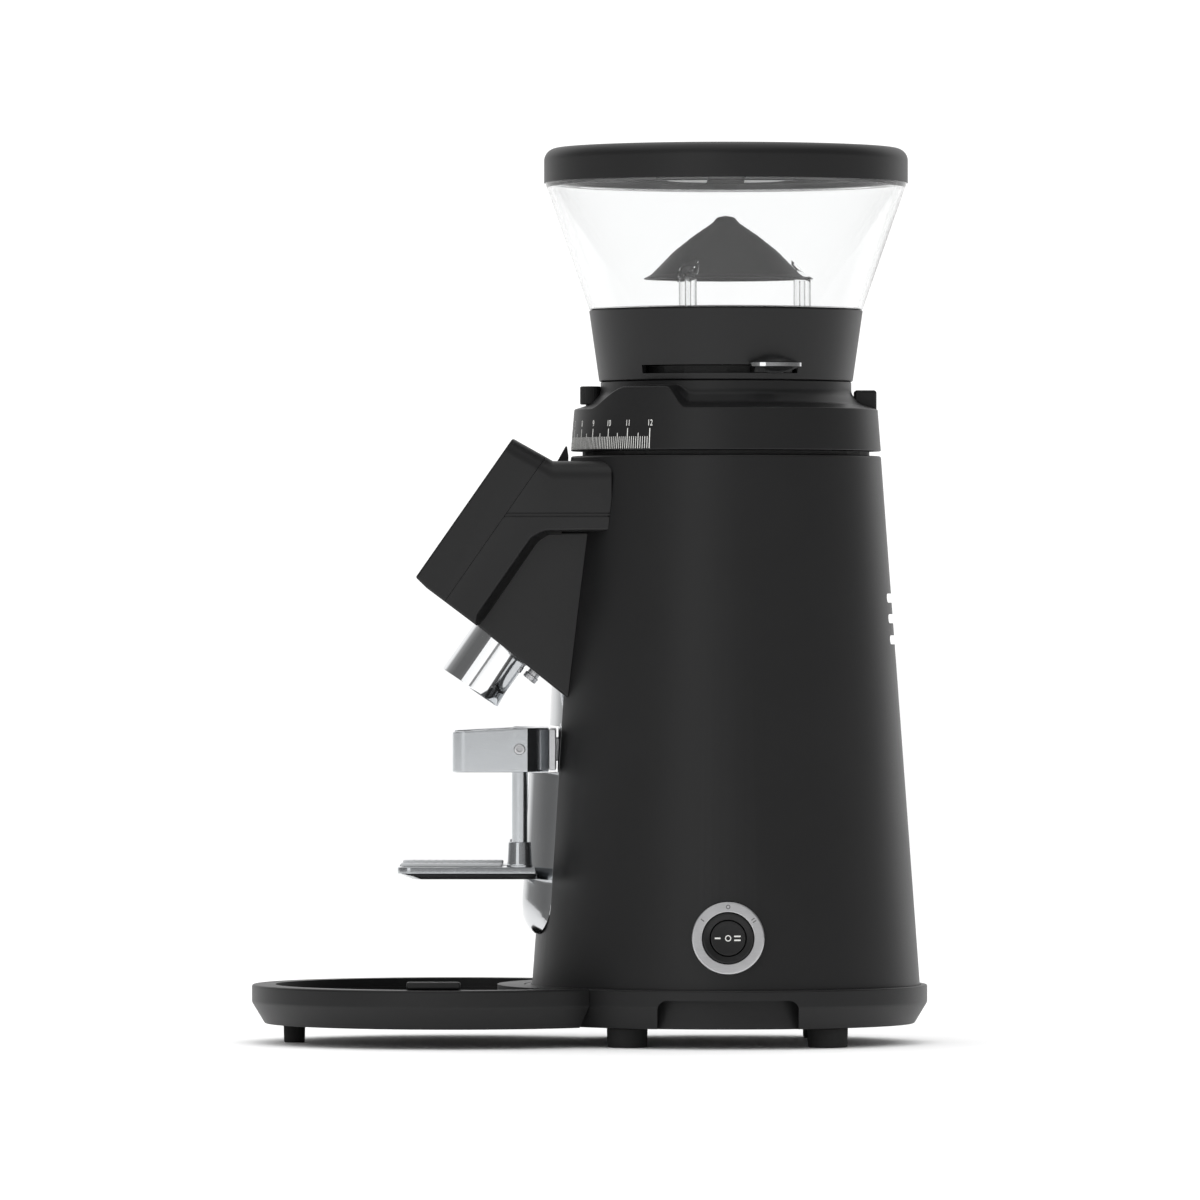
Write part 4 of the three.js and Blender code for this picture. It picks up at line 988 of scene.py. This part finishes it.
def build_dial_scale():
    """Numbers 0 to 12, ten degrees apart, with ten divisions between them."""
    print_height = 0.05
    sunk = -0.1
    last_number = 12
    divisions = 10
    spacing = 10
    start = -150
    lines_foot = 308
    digits_foot = 319.7
    digits_height = 4.5
    squeeze = 0.72

    def on_dial(azimuth, along, z, lift):
        angle = math.radians(azimuth) + along / dial_radius(z)
        radius = dial_radius(z) + lift
        return Vector((radius * math.cos(angle), radius * math.sin(angle), z))

    shapes = []
    for i in range(last_number * divisions + 1):
        if i % divisions == 0:
            top, width = 318.4, 0.5
        elif i % (divisions // 2) == 0:
            top, width = 316, 0.42
        else:
            top, width = 314.2, 0.36
        azimuth = start + i * spacing / divisions
        section = rectangle(-width / 2, width / 2, sunk, print_height)
        loops = []
        for z in evenly(lines_foot, top, 2):
            loops.append([on_dial(azimuth, along, z, lift) for along, lift, _ in section])
        shapes.append(loft(loops))
    for number in range(last_number + 1):
        text = bpy.data.curves.new("work", "FONT")
        text.body = str(number)
        text.size = digits_height
        text.align_x = "CENTER"
        text.extrude = print_height
        holder = place_in_scene("work", text)
        solid_text = holder.evaluated_get(bpy.context.evaluated_depsgraph_get())
        mesh = bpy.data.meshes.new_from_object(solid_text)
        digits = bmesh.new()
        digits.from_mesh(mesh)
        bpy.data.objects.remove(holder)
        bpy.data.curves.remove(text)
        bpy.data.meshes.remove(mesh)
        for vertex in digits.verts:
            along = vertex.co.x * squeeze
            z = digits_foot + vertex.co.y
            vertex.co = on_dial(start + number * spacing, along, z, vertex.co.z)
        shapes.append(digits)
    piece("dial_scale", gather(shapes), "housing_paint", "dial", material=LIGHT_PRINT)


# ---- Hopper ----
def build_collar():
    def collar_radius(z):
        return 65.9 + (z - COLLAR_BOTTOM) * 5.3 / 37.1

    collar = lathe([
        (42, 335), (48.7, 335, 0.5), (48.7, COLLAR_BOTTOM), (65.9, COLLAR_BOTTOM, 0.8),
        (71.2, COLLAR_TOP, 0.7), (68.2, COLLAR_TOP, 0.5), (collar_radius(355) - WALL, 355),
        (0, 355), (0, 351.6), (collar_radius(351.6) - WALL, 351.6),
        (collar_radius(346.6) - WALL, 346.6), (42, 346.6),
    ])
    shutter_slot = sector(60, 90, -41, 33, 346.8, 351.2)
    ports = [sector(8, 34, azimuth - 21, azimuth + 21, 350, 357) for azimuth in (0, 90, 180, 270)]
    collar = cut(collar, shutter_slot, *ports)
    piece("hopper_base", collar, "housing_paint", "hopper", ["hopper_collar"])


def build_shutter_tab():
    """A lens-shaped grip: two shallow domes either side of a flat rim."""
    rings, around = 10, 64
    length, reach, dome, rim = 14, 9, 4.5, 0.95
    flat_rim_start = 0.94
    shape = bmesh.new()
    layers = []
    for side in (1, -1):
        layer = []
        for i in range(rings, 0, -1):
            share = i / rings
            inner = min(1, share / flat_rim_start)
            height = side * (rim + (dome - rim) * (1 - inner ** 2))
            layer.append([
                shape.verts.new((
                    reach * share * math.cos(2 * math.pi * k / around),
                    length * share * math.sin(2 * math.pi * k / around),
                    height,
                ))
                for k in range(around)
            ])
        centre = shape.verts.new((0, 0, side * dome))
        for outer, inner in zip(layer, layer[1:]):
            for k in range(around):
                shape.faces.new((outer[k - 1], outer[k], inner[k], inner[k - 1]))
        for k in range(around):
            shape.faces.new((layer[-1][k - 1], layer[-1][k], centre))
        layers.append(layer[0])
    for k in range(around):
        shape.faces.new((layers[0][k - 1], layers[0][k], layers[1][k], layers[1][k - 1]))
    clean(shape)
    shape.transform(Matrix.Rotation(math.radians(20.8), 4, "Z") @ Matrix.Translation((70, 0, 351.1)))
    tab = cut(shape, rod(68.1, 330, 370, segments=ROUND))
    piece("shutter_grip", tab, "chrome", "shutter", ["shutter_tab"], crease=40)


def post_places():
    for degrees in POST_ANGLES:
        angle = math.radians(degrees)
        yield POST_CIRCLE * math.cos(angle), POST_CIRCLE * math.sin(angle)


GUARD_FLANK = [
    (43.6, 396.9, 0.3), (39.2, 399, 7), (34.3, 403.9, 12), (26.9, 411.5, 30), (16.9, 419.4, 30),
    (7.4, 425.9, 3),
]


def guard_flank(outward):
    """The space inside the guard's flank, moved outward."""
    flank = [(radius + outward, height) for radius, height, _ in GUARD_FLANK]
    return lathe([(0, 360), (flank[0][0], 360), *flank, (0, 432)])


def build_hopper():
    def hopper_radius(z):
        return 71.1 + (z - 381) * 22.9 / 65.2

    ledge = LID_BOTTOM + 0.2
    shell = lathe([
        (34, 364), (65.4, 376.4), (67.2, 380.9), (71.1, 380.9, 0.4), (94.1, ledge), (90.8, ledge),
        (90.8, 449.6, 0.4), (88.3, 449.6, 0.4), (88.3, 446.2, 0.2),
        (hopper_radius(445.5) - WALL, 445.5, 0.3), (hopper_radius(381.6) - WALL, 381.6, 1.5),
        (65.2, 379, 2), (34, 366.8, 0.5),
    ])
    flesh = 2.8
    for x, y in post_places():
        saddle = overlap(rod(5.6, 396.5, 420, x=x, y=y), guard_flank(flesh))
        post = overlap(rod(4.5, 368, POST_TOP, x=x, y=y), guard_flank(flesh))
        shell = join(shell, cut(saddle, guard_flank(SEATED)), post)
        shell = cut(shell, rod(1.2, 360, POST_TOP - 6, x=x, y=y, segments=32))
    piece("hopper_bowl", shell, "clear_plastic", "hopper", ["hopper"])


def build_guard():
    cone = lathe([
        *GUARD_FLANK, (4.3, 429.2, 2.5), (0, 430), (0, 427), (9, 421, 8), (25.8, 408.4, 20),
        (36.6, 396.9, 0.3),
    ])
    holes = [rod(4.7, 380, POST_TOP + 0.2, x=x, y=y) for x, y in post_places()]
    piece("finger_guard", cut(cone, *holes), "guard_plastic", "hopper", ["guard_cone"])


def build_lid():
    def grips(grow, bottom, top):
        """Two half-round bowls with a bar between them."""
        radius = 35.2 + grow
        bar = 12 - grow
        bowl = lathe([
            (0, bottom), (radius - 6, bottom, 3), (radius, bottom + 8, 4), (radius, top), (0, top),
        ])
        return cut(bowl, block(-60, 60, -bar, bar, bottom - 1, top + 1))

    top = LID_HIGH.z
    lid = lathe([
        (91.4, LID_BOTTOM), (LID_RADIUS, LID_BOTTOM, 0.25), (LID_RADIUS, top, 6.5), (0, top),
        (0, 461.6), (85.6, 461.6), (85.6, 452.8), (91.4, 452.8),
    ])
    lid = cut(lid, grips(2.3, GRIP_BOTTOM, 470))
    piece("lid_cap", lid, "moulded_black", "lid", ["hopper_lid"])
    # A thin grey sheet over the black grip bowls paints in the light that falls on them.
    cups = cut(grips(2.2, GRIP_BOTTOM, top - 0.6), grips(0.4, GRIP_BOTTOM + 2, 470))
    piece("lid_grip_cups", cups, "moulded_black", "lid", ["hopper_lid"], material=PAINTED_LIGHT_MOULDING)
    seal = lathe([(88, 449.9, 0.6), (91.1, 449.9, 0.6), (91.1, 452.5, 0.6), (88, 452.5, 0.6)])
    piece("lid_seal_ring", seal, "black_rubber", "lid", ["lid_seal"])


def build_gland():
    low, high = span("cable_gland")
    axis = toward((0, low.y, GLAND_Z), (0, 1, 0))
    length = high.y - low.y
    gland = lathe([
        (3.6, 0), (5.2, 0, 0.3), (5.2, length - 7), (6.1, length - 7, 0.4), (6.1, length - 3.4, 0.4),
        (5.3, length - 2.8, 0.4), (4.8, length, 0.8), (3.6, length, 0.4),
    ], axis, SMALL_ROUND)
    piece("cable_gland_nut", gland, "moulded_black", "housing", ["cable_gland"])


CARRIED = {
    "housing_paint": ["bottom_cover"],
    "moulded_black": ["cooling_fan", "shutter_disc"],
    "cast_aluminium": ["chute", "grind_chamber", "motor_mount", "lower_burr_carrier"],
    "brushed_steel": ["button_spring", "upper_burr_carrier", "burr_nut", "rotor_shaft"],
    "burr_steel": ["upper_burr", "lower_burr"],
    "motor_iron": ["motor_stator"],
    "circuit_board": ["display_board", "control_board"],
    "capacitor_case": ["run_capacitor"],
}


def finish_carried_nodes():
    for slot, names in CARRIED.items():
        for name in names:
            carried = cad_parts[name]
            if not carried.material_slots:
                carried.data.materials.append(None)
            for place in carried.material_slots:
                place.material = DARK_CASTING if name == "grind_chamber" else FINISHES[slot]


build_base()
build_feet()
build_tray()
build_liner()
build_body()
build_shield()
build_switch()
build_head()
build_display()
build_fairing()
build_spout()
build_start_button()
build_index_pointer()
build_yoke()
build_screws_and_rods()
build_fork()
build_dial()
build_dial_scale()
build_collar()
build_shutter_tab()
build_hopper()
build_guard()
build_lid()
build_gland()
finish_carried_nodes()


# ---- Studio ----
def build_floor():
    shape = bmesh.new()
    bmesh.ops.create_grid(shape, x_segments=1, y_segments=1, size=40)
    floor = place_in_scene("floor", as_mesh("floor", shape))
    floor.data.materials.append(finish("pale_floor", (0.93, 0.93, 0.93), 0.8, mottle=0.005, depth=0.0))


def build_world():
    """White all round, except that glossy surfaces mirror a room that is dark on the camera's side."""
    world = bpy.data.worlds.new("studio")
    world.use_nodes = True
    bpy.context.scene.world = world
    tree = world.node_tree
    background = next(n for n in tree.nodes if n.type == "BACKGROUND")
    direction = add(tree, "ShaderNodeTexCoord").outputs["Generated"]
    parts = add(tree, "ShaderNodeSeparateXYZ", {"Vector": direction}).outputs
    tilt = {0: parts["Z"], 1: -0.45, 2: parts["X"]}
    tilted = add(tree, "ShaderNodeMath", tilt, operation="MULTIPLY_ADD").outputs[0]
    share = add(tree, "ShaderNodeMapRange", {"Value": tilted, "From Min": -1.0})
    room = add(tree, "ShaderNodeValToRGB", {"Fac": share.outputs["Result"]})
    stops = [  # from behind the object to the camera's side
        (0, 1.05), (0.06, 1.0), (0.14, 0.36), (0.3, 0.2), (0.45, 0.14), (0.7, 0.14), (0.88, 0.2), (1, 0.3),
    ]
    while len(room.color_ramp.elements) < len(stops):
        room.color_ramp.elements.new(0.5)
    for element, (position, brightness) in zip(room.color_ramp.elements, stops):
        element.position = position
        element.color = (brightness, brightness, brightness, 1)
    mirrored = add(tree, "ShaderNodeLightPath").outputs["Is Glossy Ray"]
    white = (1.16, 1.16, 1.16, 1)
    tree.links.new(mixed(tree, mirrored, white, room.outputs["Color"]), background.inputs["Color"])


def area_light(name, place, target, size, power):
    data = bpy.data.lights.new(name, "AREA")
    data.shape = "RECTANGLE"
    data.size, data.size_y = size
    data.energy = power
    light = place_in_scene(name, data)
    light.location = place
    light.rotation_mode = "QUATERNION"
    light.rotation_quaternion = (Vector(target) - Vector(place)).to_track_quat("-Z", "Y")
    light.visible_camera = False


def build_lights():
    middle = (0, 0, 0.23)
    area_light("overhead", (0.1, -0.1, 1.9), middle, (2.2, 2.2), 15)
    area_light("camera_side", (3.6, -1.4, 1.2), middle, (1.9, 1.9), 11)
    area_light("rim_rear", (-1.5, 1.7, 0.8), middle, (0.9, 1.6), 2)


def build_camera():
    data = bpy.data.cameras.new("camera")
    data.lens = 334
    data.sensor_width = 36
    data.clip_start, data.clip_end = 0.1, 100
    camera = place_in_scene("camera", data)
    camera.location = (5.79, 0.0054, 0.23)
    camera.rotation_euler = (math.pi / 2, 0, math.pi / 2)
    bpy.context.scene.camera = camera
    bpy.context.scene.view_settings.view_transform = "Standard"


build_floor()
build_world()
build_lights()
build_camera()
